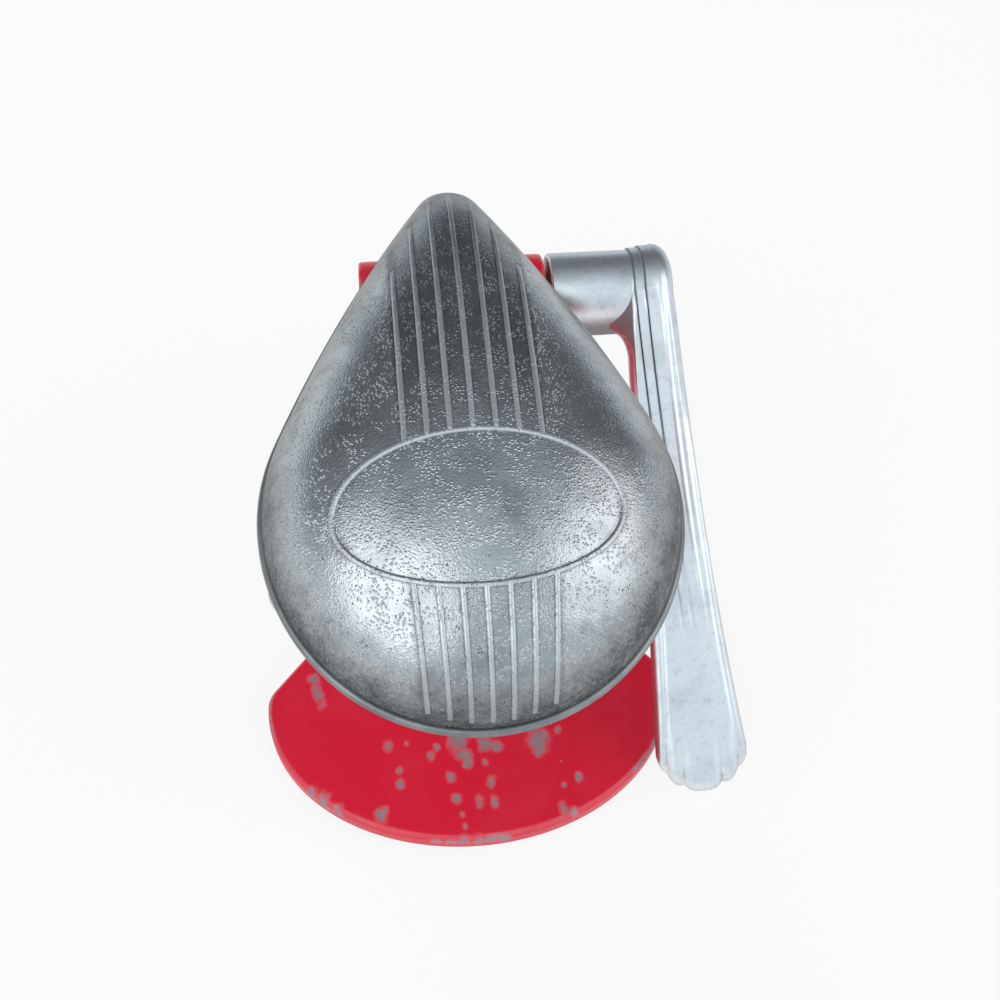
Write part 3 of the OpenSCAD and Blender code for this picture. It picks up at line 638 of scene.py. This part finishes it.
class PRESS_OT_base(bpy.types.Operator):
    """Model the enamelled base and finish the pad under it"""

    bl_idname = "press.base"
    bl_label = "Base"

    def execute(self, context):
        s = sizes()
        low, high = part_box("base_plate")
        outline = base_outline()
        clear_selection()
        bpy.ops.mesh.primitive_circle_add(vertices=len(outline), radius=1, fill_type="NGON")
        piece = named("base_casting")
        for vertex, point in zip(piece.data.vertices, outline):
            vertex.co = (point.x, point.y, low.z)
        bpy.ops.object.mode_set(mode="EDIT")
        bpy.ops.mesh.select_all(action="SELECT")
        bpy.ops.mesh.extrude_region_move(TRANSFORM_OT_translate={"value": (0, 0, high.z - low.z)})
        bpy.ops.object.mode_set(mode="OBJECT")
        close_mesh(piece)
        height = [v.co.z for v in piece.data.vertices]
        pick(piece, "EDGE", lambda edge: all(height[k] > high.z - NEARLY for k in edge.vertices))
        bpy.ops.mesh.bevel(offset=s.base_round, segments=7, affect="EDGES")
        bpy.ops.object.mode_set(mode="OBJECT")
        pick(piece, "FACE", lambda face: face.normal.z < -0.9)
        bpy.ops.mesh.inset(thickness=s.base_wall, depth=0)
        bpy.ops.mesh.extrude_region_move(
            TRANSFORM_OT_translate={"value": (0, 0, high.z - low.z - s.base_wall)})
        bpy.ops.object.mode_set(mode="OBJECT")
        dressed(piece, chipped_enamel(), "stand", "red_enamel", "base_plate")
        refinish(grained_rubber(), "base_pad")
        return {"FINISHED"}


class PRESS_OT_column(bpy.types.Operator):
    """Round the cast column and the bowl ring, and give them their enamel"""

    bl_idname = "press.column"
    bl_label = "Column and ring"

    def execute(self, context):
        enamel = bpy.data.materials["chipped_enamel"]
        column = softened("column", "column_casting", voxel=0.85 * MM, rounds=9)
        dressed(column, enamel, "stand", "red_enamel", "column", crease=60)
        ring = softened("bowl_ring", "ring_casting", voxel=0.55 * MM, rounds=13)
        dressed(ring, enamel, "stand", "red_enamel", "bowl_ring", crease=60)
        return {"FINISHED"}


# Top

# Shares of the way from the widest place to the tail's tip: the shoulder's end and the round end's start
SHOULDER_SHARE, SIDE_SHARE = 0.25, 0.8
# How the ribs fan out per metre towards the back, and how far they start inside the oval's line
FRONT_FAN, REAR_FAN, RIB_TUCK = 3.0, 0.3, 0.9 * MM
# Ribs on each side of the middle one, and the share of the outline's reach at which they end:
# the rear ones end earlier with the square of their count from the middle
RIBS_BESIDE = 3
FRONT_RIB_END, REAR_RIB_END, REAR_RIB_DROP = 0.978, 0.955, 0.017
# Share of a rib's way over which it fades out
FRONT_TAPER, REAR_TAPER = 0.04, 0.35
# Depth of a cast line's tips and of its foot under the skin
LINE_TIP, LINE_FOOT = 0.3 * MM, 0.5 * MM
# Section of the rim bead: inset in millimetres and share of the bead's height
BEAD_SECTION = ((3.9, 0.3), (3.2, 0), (1.0, 0), (0.35, 0.07), (0, 0.3), (0, 0.6), (0.25, 0.86), (0.8, 1.02),
                (1.3, 1.05), (1.8, 1.03))
# Section of the boss over the press cup: radius and height in the head's frame in millimetres
BOSS_SECTION = ((0, 25), (8.2, 25), (9, 26), (9, 33), (11, 35), (0, 35))
# Hinge lugs: distance from the middle plane, radius and width
LUG_PLACE, LUG_RADIUS, LUG_WIDTH = 10.75 * MM, 6.5 * MM, 4.6 * MM
# Steps round the top, along its right side, and up its inner and outer face
ROUND_STEPS, REACH_STEPS, INNER_STEPS, OUTER_STEPS = 240, 600, 18, 44
CROWN_START = radians(4.6)


def lid_outline(turn, inset):
    """Point of the top's outline for a turn from 0 to 1, drawn in by inset."""
    s = sizes()
    wide, tail, middle = s.lid_half_width - inset, s.tail_radius - inset, s.lid_wide_place
    if turn <= 0.5:
        around = pi + tau * turn
        return wide * cos(around), middle + (s.lid_front + middle - inset) * sin(around)
    lean = asin((s.lid_half_width - s.tail_radius) / (s.tail_place - middle))
    first, last = lean - s.tail_bend, lean + s.tail_bend
    side, way = (1, 4 * turn - 2) if turn < 0.75 else (-1, 4 - 4 * turn)
    if way < SHOULDER_SHARE:
        around = first * way / SHOULDER_SHARE
        return side * wide * cos(around), middle + wide * sin(around)
    if way > SIDE_SHARE:
        around = last + (pi / 2 - last) * (way - SIDE_SHARE) / (1 - SIDE_SHARE)
        return side * tail * cos(around), s.tail_place + tail * sin(around)
    start = Vector((wide * cos(first), middle + wide * sin(first)))
    end = Vector((tail * cos(last), s.tail_place + tail * sin(last)))
    run = (end - start).dot(Vector((cos(last), sin(last)))) / sin(last - first)
    bend = start + run * Vector((-sin(first), cos(first)))
    t = (way - SHOULDER_SHARE) / (SIDE_SHARE - SHOULDER_SHARE)
    point = bent(start, bend, end, t)
    return side * point.x, point.y


@cache
def lid_reaches():
    """Angle and distance of the top's right side from the bowl's axis, from its front to its tail."""
    turns = [0.25 + k / (2 * REACH_STEPS) for k in range(REACH_STEPS + 1)]
    points = [lid_outline(turn, sizes().bead_overhang) for turn in turns]
    return [(atan2(y, x), hypot(x, y)) for x, y in points]


def lid_reach(x, y):
    """Distance from the bowl's axis to the top's outline on the line through x, y."""
    table, way = lid_reaches(), atan2(y, abs(x))
    k = min(max(bisect(table, (way,)), 1), len(table) - 1)
    (low, near), (high, far) = table[k - 1], table[k]
    return near + (far - near) * (way - low) / (high - low)


def crown_height(x, y):
    """Height of the top's outer face over its rim at x, y."""
    s = sizes()
    share = min(hypot(x, y) / lid_reach(x, y), 1)
    return s.lid_height * (1 - share ** (2 / DOME_POWER)) ** (DOME_POWER / 2)


def crown_slope(x, y):
    """Outward normal of the top's outer face at x, y in the head's frame."""
    d = 0.15 * MM
    return Vector((crown_height(x - d, y) - crown_height(x + d, y),
                   crown_height(x, y - d) - crown_height(x, y + d), 2 * d)).normalized()


def lid_rings():
    """Rings of the shell from its inner crown round the rim bead to its outer crown."""
    s = sizes()
    inner, bead = s.bead_overhang + s.lid_wall, s.bead_height
    rings = [(inner, cos(q) ** DOME_POWER, (s.lid_height - s.lid_wall) * sin(q) ** DOME_POWER)
             for q in (pi / 2 * (1 - k / INNER_STEPS) for k in range(1, INNER_STEPS))]
    rings = [(inner, 0, s.lid_height - s.lid_wall)] + rings
    rings += [(inset * MM, 1, height * bead) for inset, height in BEAD_SECTION]
    rings += [(s.bead_overhang, cos(q) ** DOME_POWER, s.lid_height * sin(q) ** DOME_POWER)
              for q in (CROWN_START + (pi / 2 - CROWN_START) * k / OUTER_STEPS for k in range(OUTER_STEPS))]
    return rings + [(s.bead_overhang, 0, s.lid_height)]


def cast_line(name, path, steps, taper=FRONT_TAPER, closed=False):
    """A half-round line raised on the top along path, which gives x and y for 0 to 1; it tapers off."""
    s = sizes()

    def place(u, v):
        x, y = path(v)
        ahead, behind = (path(v + d if closed else min(max(v + d, 0), 1)) for d in (0.002, -0.002))
        up = crown_slope(x, y)
        along = Vector((ahead[0] - behind[0], ahead[1] - behind[1],
                        crown_height(*ahead) - crown_height(*behind)))
        across = along.cross(up).normalized()
        foot = Vector((x, y, crown_height(x, y)))
        if not closed and min(v, 1 - v) < 1e-6:
            return head_point(*(foot - up * LINE_TIP))
        fade = 1 if closed else smooth((1 - v) / taper)
        lift = sin(tau * u) * (s.rib_height * fade if u < 0.5 else LINE_FOOT)
        return head_point(*(foot + across * cos(tau * u) * s.rib_width / 2 + up * lift))

    piece = wrapped(name, 14, steps, place)
    marks = piece.data.attributes.new("cast_line", "FLOAT", "POINT")
    marks.data.foreach_set("value", [1.0] * len(piece.data.vertices))
    return piece


def rib_path(x, sign, share):
    """Path of a rib at x from under the oval's line to the given share of the outline's reach."""
    s = sizes()
    depth = s.oval_half_depth * sqrt(1 - (x / s.oval_half_width) ** 2)
    start, edge = s.oval_place + sign * (depth - RIB_TUCK), s.oval_place + sign * s.oval_half_depth
    fan = REAR_FAN if sign > 0 else FRONT_FAN
    end = start
    while hypot(x, end) < share * lid_reach(x, end):
        end += sign * 0.25 * MM

    def path(v):
        y = start + (end - start) * sin(v * pi / 2) ** 1.15
        return x * (1 + fan * (y - edge)), y
    return path


class PRESS_OT_top(bpy.types.Operator):
    """Model the teardrop top with its bead, oval, ribs and hinge lugs"""

    bl_idname = "press.top"
    bl_label = "Top"

    def execute(self, context):
        s = sizes()
        rings = lid_rings()

        def shell(u, v):
            inset, share, height = rings[round(v * (len(rings) - 1))]
            x, y = lid_outline(u, inset)
            return head_point(x * share, y * share, height)

        def oval(v):
            return s.oval_half_width * cos(tau * v), s.oval_place + s.oval_half_depth * sin(tau * v)

        parts = [wrapped("top_shell", ROUND_STEPS, len(rings) - 1, shell)]
        parts.append(cast_line("oval_line", oval, steps=180, closed=True))
        for k in range(-RIBS_BESIDE, RIBS_BESIDE + 1):
            x, rear_end = k * s.rib_pitch, REAR_RIB_END - REAR_RIB_DROP * k * k
            parts.append(cast_line("rear_rib", rib_path(x, 1, rear_end), steps=90, taper=REAR_TAPER))
            parts.append(cast_line("front_rib", rib_path(x, -1, FRONT_RIB_END), steps=50))
        parts += [self.lug(side) for side in (-1, 1)]
        parts.append(turned("cup_boss", BOSS_SECTION, head_point, steps=48))
        dressed(joined("top_shell", parts), pitted_casting(), "lid", "bright_cast", "lid_shell", crease=50)
        return {"FINISHED"}

    def lug(self, side):
        """A hinge lug that hangs from the top's inner face."""
        middle = LUG_PLACE * side
        piece = disc("hinge_lug", LUG_RADIUS, LUG_WIDTH, vertices=40)
        bevelled(piece, width=0.6 * MM, segments=3)
        for vertex in piece.data.vertices:
            x, y, z = middle + vertex.co.z, HINGE_BACK + vertex.co.x, HINGE_UP + vertex.co.y
            if vertex.co.y > 0:
                z = max(z, crown_height(x, y) - sizes().lid_wall / 2)
            vertex.co = head_point(x, y, z)
        close_mesh(piece)
        return piece


# Lever

# Section of the hub: place along the shaft and radius in millimetres
HUB_SECTION = ((36.1, 0), (36.1, 13.9), (36.5, 14.8), (37.2, 15.2), (50, 15.2), (64.7, 15.2), (65.3, 15.25),
               (65.75, 15.55), (66.1, 15.85), (66.5, 15.88), (69.2, 15.88), (69.5, 16.15), (69.8, 16.45),
               (70.2, 16.5), (73.4, 16.6), (74.1, 16.85), (74.9, 16.95), (75.8, 16.8), (76.9, 16.5),
               (78.2, 15.7), (79.4, 14.5), (80.3, 12.8), (80.8, 10.8), (81.0, 8.5), (81.0, 0))
# Step lines and ridges of the arm: distance from its outer edge in millimetres
STEP_LINES = (15.0, 11.3)
RIDGES_FROM, RIDGE_PITCH = 7.0, 2.35
# Grooves between the grip's lobes, from the inner edge at -1 to the outer edge at 1
GRIP_GROOVES = (-0.8, -0.42, 0.42, 0.8)
# Half width of a groove on that scale, and how deep it notches the end
GROOVE_HALF, GROOVE_NOTCH = 0.17, 1.5 * MM
# Where the arm starts behind the shaft, and its rows of points
ARM_ROOT, ARM_ROWS = 0.4 * MM, 170
# Fillet of the arm's inner edge at the hub: where it starts and how far it runs along the arm
FILLET_START, FILLET_RUN = 14.8 * MM, 11 * MM
# Share of the flare that stays as a wider root, where that fades, and how the root falls off inwards
ROOT_SHARE, ROOT_FADE_START, ROOT_FADE_RUN = 0.34, 30 * MM, 36 * MM
ROOT_FALL, ROOT_FALL_START = 0.8, 1 * MM
# Roundings of the arm: inner edge, outer edge, what the hub's end adds to it and where that fades,
# then the lobed end and the start
INNER_ROUND, OUTER_ROUND, OUTER_ROUND_MORE, OUTER_FADE = 1.6 * MM, 2.2 * MM, 3.8 * MM, 70 * MM
END_ROUND, START_ROUND = 4.5 * MM, 0.35 * MM
# Length over which the arm's top grows out of the hub, and where steps and ridges fade into the grip
HUB_BLEND, STEPS_END, STEPS_FADE = 14 * MM, 92 * MM, 40 * MM
# Relief in millimetres: rise and width of a step, middle and swing of the ridges, place of the first crest
STEP_RISE, STEP_WIDTH = 0.62, 0.3
RIDGE_RISE, RIDGE_SWING, RIDGE_SHIFT = 0.2, 0.17, 1.15
# Grip in millimetres: rise and crown, then place, width and depth of the grooves inside its lips
GRIP_RISE, GRIP_CROWN = 1.0, 0.5
OUTER_LIP, INNER_LIP, LIP_WIDTH, LIP_DEPTH = 2.6, 3.7, 0.6, 0.3
# Lobes: how far they run from the end, then depth of their grooves and drop of the end in millimetres
LOBE_RUN, LOBE_GROOVE, LOBE_DROP = 22 * MM, 1.7, 1.3
# Fall of the arm's top along its length, and height of the parting line over the underside
ARM_FALL, PARTING = 0.8 * MM, 2.2 * MM
# Painted shade along the foot of the step lines: where it fades, its place and width in millimetres, and how
# low it reaches
SHADE_END, SHADE_FADE, SHADE_PLACE, SHADE_WIDTH, SHADE_LOWEST = 95 * MM, 35 * MM, 0.1, 0.3, 2 * MM
# Painted shade under the front of the hub: its share, where it starts and over which length it grows
HUB_SHADE, HUB_SHADE_START, HUB_SHADE_RUN = 0.75, 8.5 * MM, 5 * MM


def hub_rise(x):
    """Radius of the hub at x."""
    places = [place for place, _ in HUB_SECTION]
    k = min(max(bisect(places, x / MM), 1), len(places) - 1)
    (low, near), (high, far) = HUB_SECTION[k - 1], HUB_SECTION[k]
    return (near + (far - near) * min((x / MM - low) / max(high - low, 0.01), 1)) * MM


def quarter(distance, radius):
    """Rise of a rounded edge: 0 at the edge, 1 from a radius inside it."""
    return sqrt(max(1 - (1 - min(max(distance, 0) / radius, 1)) ** 2, 0))


def arm_edges(y):
    """Inner and outer edge of the arm at y; the inner one flares into the hub."""
    s = sizes()
    share = min(max(-y / s.arm_length, 0), 1)
    near = 1 - min(max((-y - FILLET_START) / FILLET_RUN, 0), 1)
    root = ROOT_SHARE * (1 - smooth((-y - ROOT_FADE_START) / ROOT_FADE_RUN))
    flare = s.arm_flare * (root + (1 - ROOT_SHARE) * (1 - sqrt(1 - near ** 2)))
    widening = (s.arm_grip_width - s.arm_root_width) * (share + share ** 2) / 2
    return s.arm_inner - flare, s.arm_inner + s.arm_root_width + widening


def arm_stations(y):
    """Places across the arm at y, close together at its edges, step lines and ridges."""
    inner, outer = arm_edges(y)
    first, second = (outer - line * MM for line in STEP_LINES)
    field = outer - RIDGES_FROM * MM
    step = [k * 0.15 * MM for k in range(-2, 3)]
    places = [inner + (first - 0.4 * MM - inner) * (k / 28) ** 1.6 for k in range(29)]
    places += [first + d for d in step] + [first + (second - first) * k / 6 for k in range(1, 6)]
    places += [second + d for d in step] + [second + (field - second) * k / 6 for k in range(1, 6)]
    places += [outer - RIDGES_FROM * MM * cos(pi / 2 * k / 22) for k in range(22)]
    return places + [outer]


def arm_point(x, way, under):
    """A point of the arm at x: way runs from 0 in the hub to 1 at the lobed end."""
    s = sizes()
    y = ARM_ROOT - (ARM_ROOT + s.arm_length) * way
    inner, outer = arm_edges(y)
    across = min(max(2 * (x - inner) / (outer - inner) - 1, -1), 1)
    groove = max(max(1 - abs(across - place) / GROOVE_HALF, 0) for place in GRIP_GROOVES) ** 1.5
    reach = ARM_ROOT + s.arm_length + s.grip_bow * sqrt(1 - across ** 2) - GROOVE_NOTCH * groove
    y, left = ARM_ROOT - reach * way, reach * (1 - way)
    away = smooth(-y / HUB_BLEND)
    outer_round = OUTER_ROUND + OUTER_ROUND_MORE * (1 - smooth(-y / OUTER_FADE))
    full = min(quarter(x - inner, INNER_ROUND), 1 - away * (1 - quarter(outer - x, outer_round)),
               quarter(left, END_ROUND), quarter(ARM_ROOT - y, START_ROUND))
    edge = (outer - x) / MM
    stepped = 1 - smooth((-y - STEPS_END) / STEPS_FADE)
    steps = sum(STEP_RISE * smooth(0.5 + (line - edge) / STEP_WIDTH) for line in STEP_LINES)
    ridges = smooth((RIDGES_FROM + 0.25 - edge) / 0.5) * (
        RIDGE_RISE + RIDGE_SWING * cos(tau * (RIDGES_FROM - RIDGE_SHIFT - edge) / RIDGE_PITCH))
    lips = LIP_DEPTH * (bell(edge - OUTER_LIP, LIP_WIDTH) + bell((x - inner) / MM - INNER_LIP, LIP_WIDTH))
    grip = GRIP_RISE + GRIP_CROWN * (1 - across ** 2) - lips
    near = min(max(1 - left / LOBE_RUN, 0), 1)
    lobes = LOBE_GROOVE * groove * near ** 1.2 + LOBE_DROP * near ** 3
    rise = stepped * (steps + ridges) + (1 - stepped) * grip - lobes
    top = s.arm_top + y / s.arm_length * ARM_FALL + rise * MM
    top = hub_rise(x) * (1 - away) + top * away - max(s.arm_inner - ROOT_FALL_START - x, 0) * ROOT_FALL
    middle = min(s.arm_under + PARTING, (top + s.arm_under) / 2)
    return lever_point(x, y, middle + ((s.arm_under if under else top) - middle) * full)


def line_shade(x, y, z):
    """Share of painted shade at a point of the lever: along the foot of its step lines."""
    outer = arm_edges(y)[1]
    fade = 1 - smooth((-y - SHADE_END) / SHADE_FADE)
    foot = max(bell((outer - x) / MM - line - SHADE_PLACE, SHADE_WIDTH) for line in STEP_LINES)
    return fade * foot if z > SHADE_LOWEST else 0


def hub_shade(x, y, z):
    """Share of painted shade at a point of the hub: along its step lines and under its front."""
    return max(line_shade(x, 0, z), HUB_SHADE * smooth((-y - HUB_SHADE_START) / HUB_SHADE_RUN))


class PRESS_OT_lever(bpy.types.Operator):
    """Model the lever: a turned hub and a stepped arm with a lobed grip"""

    bl_idname = "press.lever"
    bl_label = "Lever"

    def execute(self, context):
        s = sizes()
        section = [(radius, x) for x, radius in HUB_SECTION]
        hub = turned("lever_hub", section, lambda x, y, z: lever_point(z, x, y), steps=128)
        ways = [1 - (1 - k / ARM_ROWS) ** 1.3 for k in range(ARM_ROWS + 1)]
        rows = [arm_stations(ARM_ROOT - (ARM_ROOT + s.arm_length) * way) for way in ways]
        last = len(rows[0]) - 1

        def skin(u, v):
            row, place = round(v * ARM_ROWS), round(u * 2 * last)
            return arm_point(rows[row][min(place, 2 * last - place)], ways[row], place > last)

        arm = wrapped("lever_arm", 2 * last, ARM_ROWS, skin)
        # Painted shade on hub and arm: along the step lines and under the hub's front
        self.shade_marks(hub, hub_shade)
        self.shade_marks(arm, lambda x, y, z: line_shade(x, min(y, 0), z))
        dressed(joined("lever_casting", [hub, arm]), satin_casting(), "lever", "satin_cast", "lever_handle",
                crease=40)
        return {"FINISHED"}

    def shade_marks(self, piece, share):
        """Marks the points of a piece where shade is painted: share(x, y, z) in the lever's frame."""
        drop = sizes().arm_drop
        marks = piece.data.attributes.new("step_shade", "FLOAT", "POINT")
        for mark, vertex in zip(marks.data, piece.data.vertices):
            x, back, up = vertex.co - Vector((0, SHAFT.y, SHAFT.z))
            mark.value = share(x, back * cos(drop) + up * sin(drop), up * cos(drop) - back * sin(drop))


# Bowl and drive

# Section of the bowl, then of its spout: radius and height in the head's frame in millimetres
BOWL_SECTION = ((0, -30.8), (40.8, -30.8), (42.6, -30.4), (43.8, -29.4), (44.3, -28), (51.6, -4.6),
                (52.3, -3.5), (53.2, -3.2), (59.7, -3.2), (60.3, -2.8), (60.5, -2), (60.3, -1.2),
                (59.7, -0.8), (51, -0.8), (50.2, -1.1), (49.7, -1.9), (42.7, -26.4), (42.2, -27.7),
                (41.3, -28.5), (40, -28.8), (0, -28.8))
SPOUT_SECTION = ((5, -30), (7, -30), (7, -40.2), (6.8, -40.6), (6.4, -40.8), (5.6, -40.8), (5.2, -40.6),
                 (5, -40.2))
# Spout: its axis, its bore, and depth and height of the drill that opens the bowl's floor
SPOUT_PLACE, SPOUT_BORE, DRILL_DEPTH, DRILL_HEIGHT = -31 * MM, 5 * MM, 8 * MM, -30 * MM
# Lifting tab: direction and distance from the bowl's axis, then radius, thickness and height
TAB_TURN, TAB_PLACE = radians(205), 60 * MM
TAB_RADIUS, TAB_THICKNESS, TAB_HEIGHT = 7.5 * MM, 2.3 * MM, -2 * MM


class PRESS_OT_bowl(bpy.types.Operator):
    """Model the spun bowl with its spout and tab, round the reamer, and finish strainer and press cup"""

    bl_idname = "press.bowl"
    bl_label = "Bowl and cup"

    def execute(self, context):
        sheet = spun_sheet()
        drill = disc("spout_drill", SPOUT_BORE, DRILL_DEPTH)
        for vertex in drill.data.vertices:
            vertex.co += Vector((0, SPOUT_PLACE, DRILL_HEIGHT))
        bowl = turned("bowl", BOWL_SECTION, lambda x, y, z: (x, y, z), steps=128)
        modify(bowl, "BOOLEAN", operation="DIFFERENCE", object=drill, solver="EXACT")
        bpy.data.objects.remove(drill)
        close_mesh(bowl)
        spout = turned("spout", SPOUT_SECTION, lambda x, y, z: (x, y + SPOUT_PLACE, z), steps=48)
        tab = disc("lifting_tab", TAB_RADIUS, TAB_THICKNESS)
        bevelled(tab, width=0.8 * MM, segments=4)
        for vertex in tab.data.vertices:
            vertex.co += Vector((TAB_PLACE * cos(TAB_TURN), TAB_PLACE * sin(TAB_TURN), TAB_HEIGHT))
        bowl = joined("bowl", [bowl, spout, tab])
        for vertex in bowl.data.vertices:
            vertex.co = head_point(*vertex.co)
        dressed(bowl, sheet, "stand", "sheet", "juice_bowl", crease=40)
        reamer = softened("reamer_cone", "reamer", voxel=0.6 * MM, rounds=4)
        dressed(reamer, sheet, "stand", "sheet", "reamer_cone", crease=60)
        refinish(sheet, "strainer_basket", "press_cup")
        return {"FINISHED"}


class PRESS_OT_drive(bpy.types.Operator):
    """Finish the rack, the shaft, the pinion and the small hardware"""

    bl_idname = "press.drive"
    bl_label = "Drive"

    def execute(self, context):
        refinish(machined_steel(), "rack_bar", "rack_guide", "cross_shaft", "drive_pinion", "shaft_collar",
                 "lid_hinge_pin", "press_stud", "press_washer", "press_nut")
        refinish(black_steel(), "column_screws", "ring_screws", "guide_screws", "pinion_pin", "hub_screw")
        refinish(turned_bronze(), "ear_bush_left", "ear_bush_right")
        return {"FINISHED"}


# Stage

CAMERA_PLACE = Vector((-19.27, -206.33, 395.9)) * MM
CAMERA_RIGHT = Vector((0.9944, -0.1024, 0.0257))
CAMERA_UP = Vector((0.065, 0.7857, 0.6151))
# Focal length and sensor in millimetres, and the nearest distance shown in metres
CAMERA_LENS, CAMERA_SENSOR, CAMERA_NEAREST = 39.6, 36, 0.01

# Soft lamps: name, place, size and power
LAMPS = (("key_lamp", (-0.7, -0.7, 1.0), 1.3, 4.5),
         ("fill_lamp", (1.0, -0.35, 0.8), 1.2, 3.6),
         ("back_lamp", (-0.3, 1.0, 0.9), 1.0, 3.5))
LAMP_AIM = Vector((0, 0.02, 0.09))
# Floor: radius in metres, its paper, and the share of plain white where it is seen directly
FLOOR_RADIUS, FLOOR_PAPER, FLOOR_WHITE = 6, (0.9, 0.9, 0.9, 1), 0.86
SKY_DARK, SKY_PALE = (0.14, 0.15, 0.16, 1), (0.82, 0.94, 1.0, 1)


class PRESS_OT_stage(bpy.types.Operator):
    """Set the camera, the soft lamps and the pale floor"""

    bl_idname = "press.stage"
    bl_label = "Stage"

    def execute(self, context):
        scene = context.scene
        scene.view_settings.view_transform = "Standard"
        clear_selection()
        bpy.ops.object.camera_add(location=CAMERA_PLACE)
        camera = bpy.context.object
        right = CAMERA_RIGHT.normalized()
        up = (CAMERA_UP - right * CAMERA_UP.dot(right)).normalized()
        camera.rotation_euler = Matrix((right, up, right.cross(up))).transposed().to_euler()
        camera.data.sensor_width, camera.data.lens = CAMERA_SENSOR, CAMERA_LENS
        camera.data.clip_start = CAMERA_NEAREST
        scene.camera = camera
        for name, place, size, power in LAMPS:
            bpy.ops.object.light_add(type="AREA", location=place)
            lamp = bpy.context.object
            lamp.name = name
            lamp.data.shape, lamp.data.size, lamp.data.energy = "DISK", size, power
            lamp.visible_glossy = name != "back_lamp"
            lamp.rotation_euler = (LAMP_AIM - Vector(place)).to_track_quat("-Z", "Y").to_euler()
        clear_selection()
        bpy.ops.mesh.primitive_circle_add(vertices=64, radius=FLOOR_RADIUS, fill_type="NGON")
        floor = named("floor")
        make = Finish("pale_floor")
        direct = self.seen(make)
        white = make.node("ShaderNodeEmission", values={"Color": (1, 1, 1, 1), "Strength": 1.0})
        paper = make.node("ShaderNodeBsdfDiffuse", values={"Color": FLOOR_PAPER})
        surface = make.node("ShaderNodeMixShader", values={0: direct * FLOOR_WHITE, 1: paper, 2: white})
        make.node("ShaderNodeOutputMaterial", values={"Surface": surface})
        floor.data.materials.append(make.material)
        self.sky(scene)
        return {"FINISHED"}

    def seen(self, make):
        """1 for rays that show the stage itself: camera, glossy and transmission."""
        rays = make.node("ShaderNodeLightPath", out="Is Camera Ray")
        lights = rays.socket.node.outputs
        return rays.most(Sock(make, lights["Is Glossy Ray"])).most(Sock(make, lights["Is Transmission Ray"]))

    def sky(self, scene):
        """A studio sky: white over the front, pale along the horizon, dark above the back."""
        world = scene.world or bpy.data.worlds.new("studio")
        scene.world = world
        world.use_nodes = True
        make = Finish("studio", world.node_tree)
        across, back, height = make.split(make.node("ShaderNodeTexCoord", out="Generated"))
        front = (height * 0.35 - back).ramp(-0.3, 1.0) * 0.82
        horizon = (height + across * 0.08).ramp(0.36, 0.14) * 0.9
        glow = make.mix(front.most(horizon), SKY_DARK, SKY_PALE)
        light = make.node("ShaderNodeBackground", values={"Color": glow, "Strength": 1.0})
        make.node("ShaderNodeOutputWorld", values={"Surface": light})


class PRESS_PT_panel(bpy.types.Panel):
    """Lists the press's pieces and their sizes"""

    bl_idname = "PRESS_PT_panel"
    bl_label = "Citrus press"
    bl_space_type = "VIEW_3D"
    bl_region_type = "UI"
    bl_category = "Press"

    def draw(self, context):
        for operator in OPERATORS:
            self.layout.operator(operator.bl_idname)
        for group in (context.scene.press_sizes, context.scene.press_colours):
            for key in group.__annotations__:
                self.layout.prop(group, key)


OPERATORS = (PRESS_OT_stage, PRESS_OT_base, PRESS_OT_column, PRESS_OT_top, PRESS_OT_lever, PRESS_OT_bowl,
             PRESS_OT_drive)
CLASSES = (PressSizes, PressColours) + OPERATORS + (PRESS_PT_panel,)


def register():
    for cls in CLASSES:
        bpy.utils.register_class(cls)
    bpy.types.Scene.press_sizes = PointerProperty(type=PressSizes)
    bpy.types.Scene.press_colours = PointerProperty(type=PressColours)


def unregister():
    del bpy.types.Scene.press_colours, bpy.types.Scene.press_sizes
    for cls in reversed(CLASSES):
        bpy.utils.unregister_class(cls)


def main():
    register()
    for name in ("stage", "base", "column", "top", "lever", "bowl", "drive"):
        getattr(bpy.ops.press, name)()


if __name__ == "__main__":
    main()
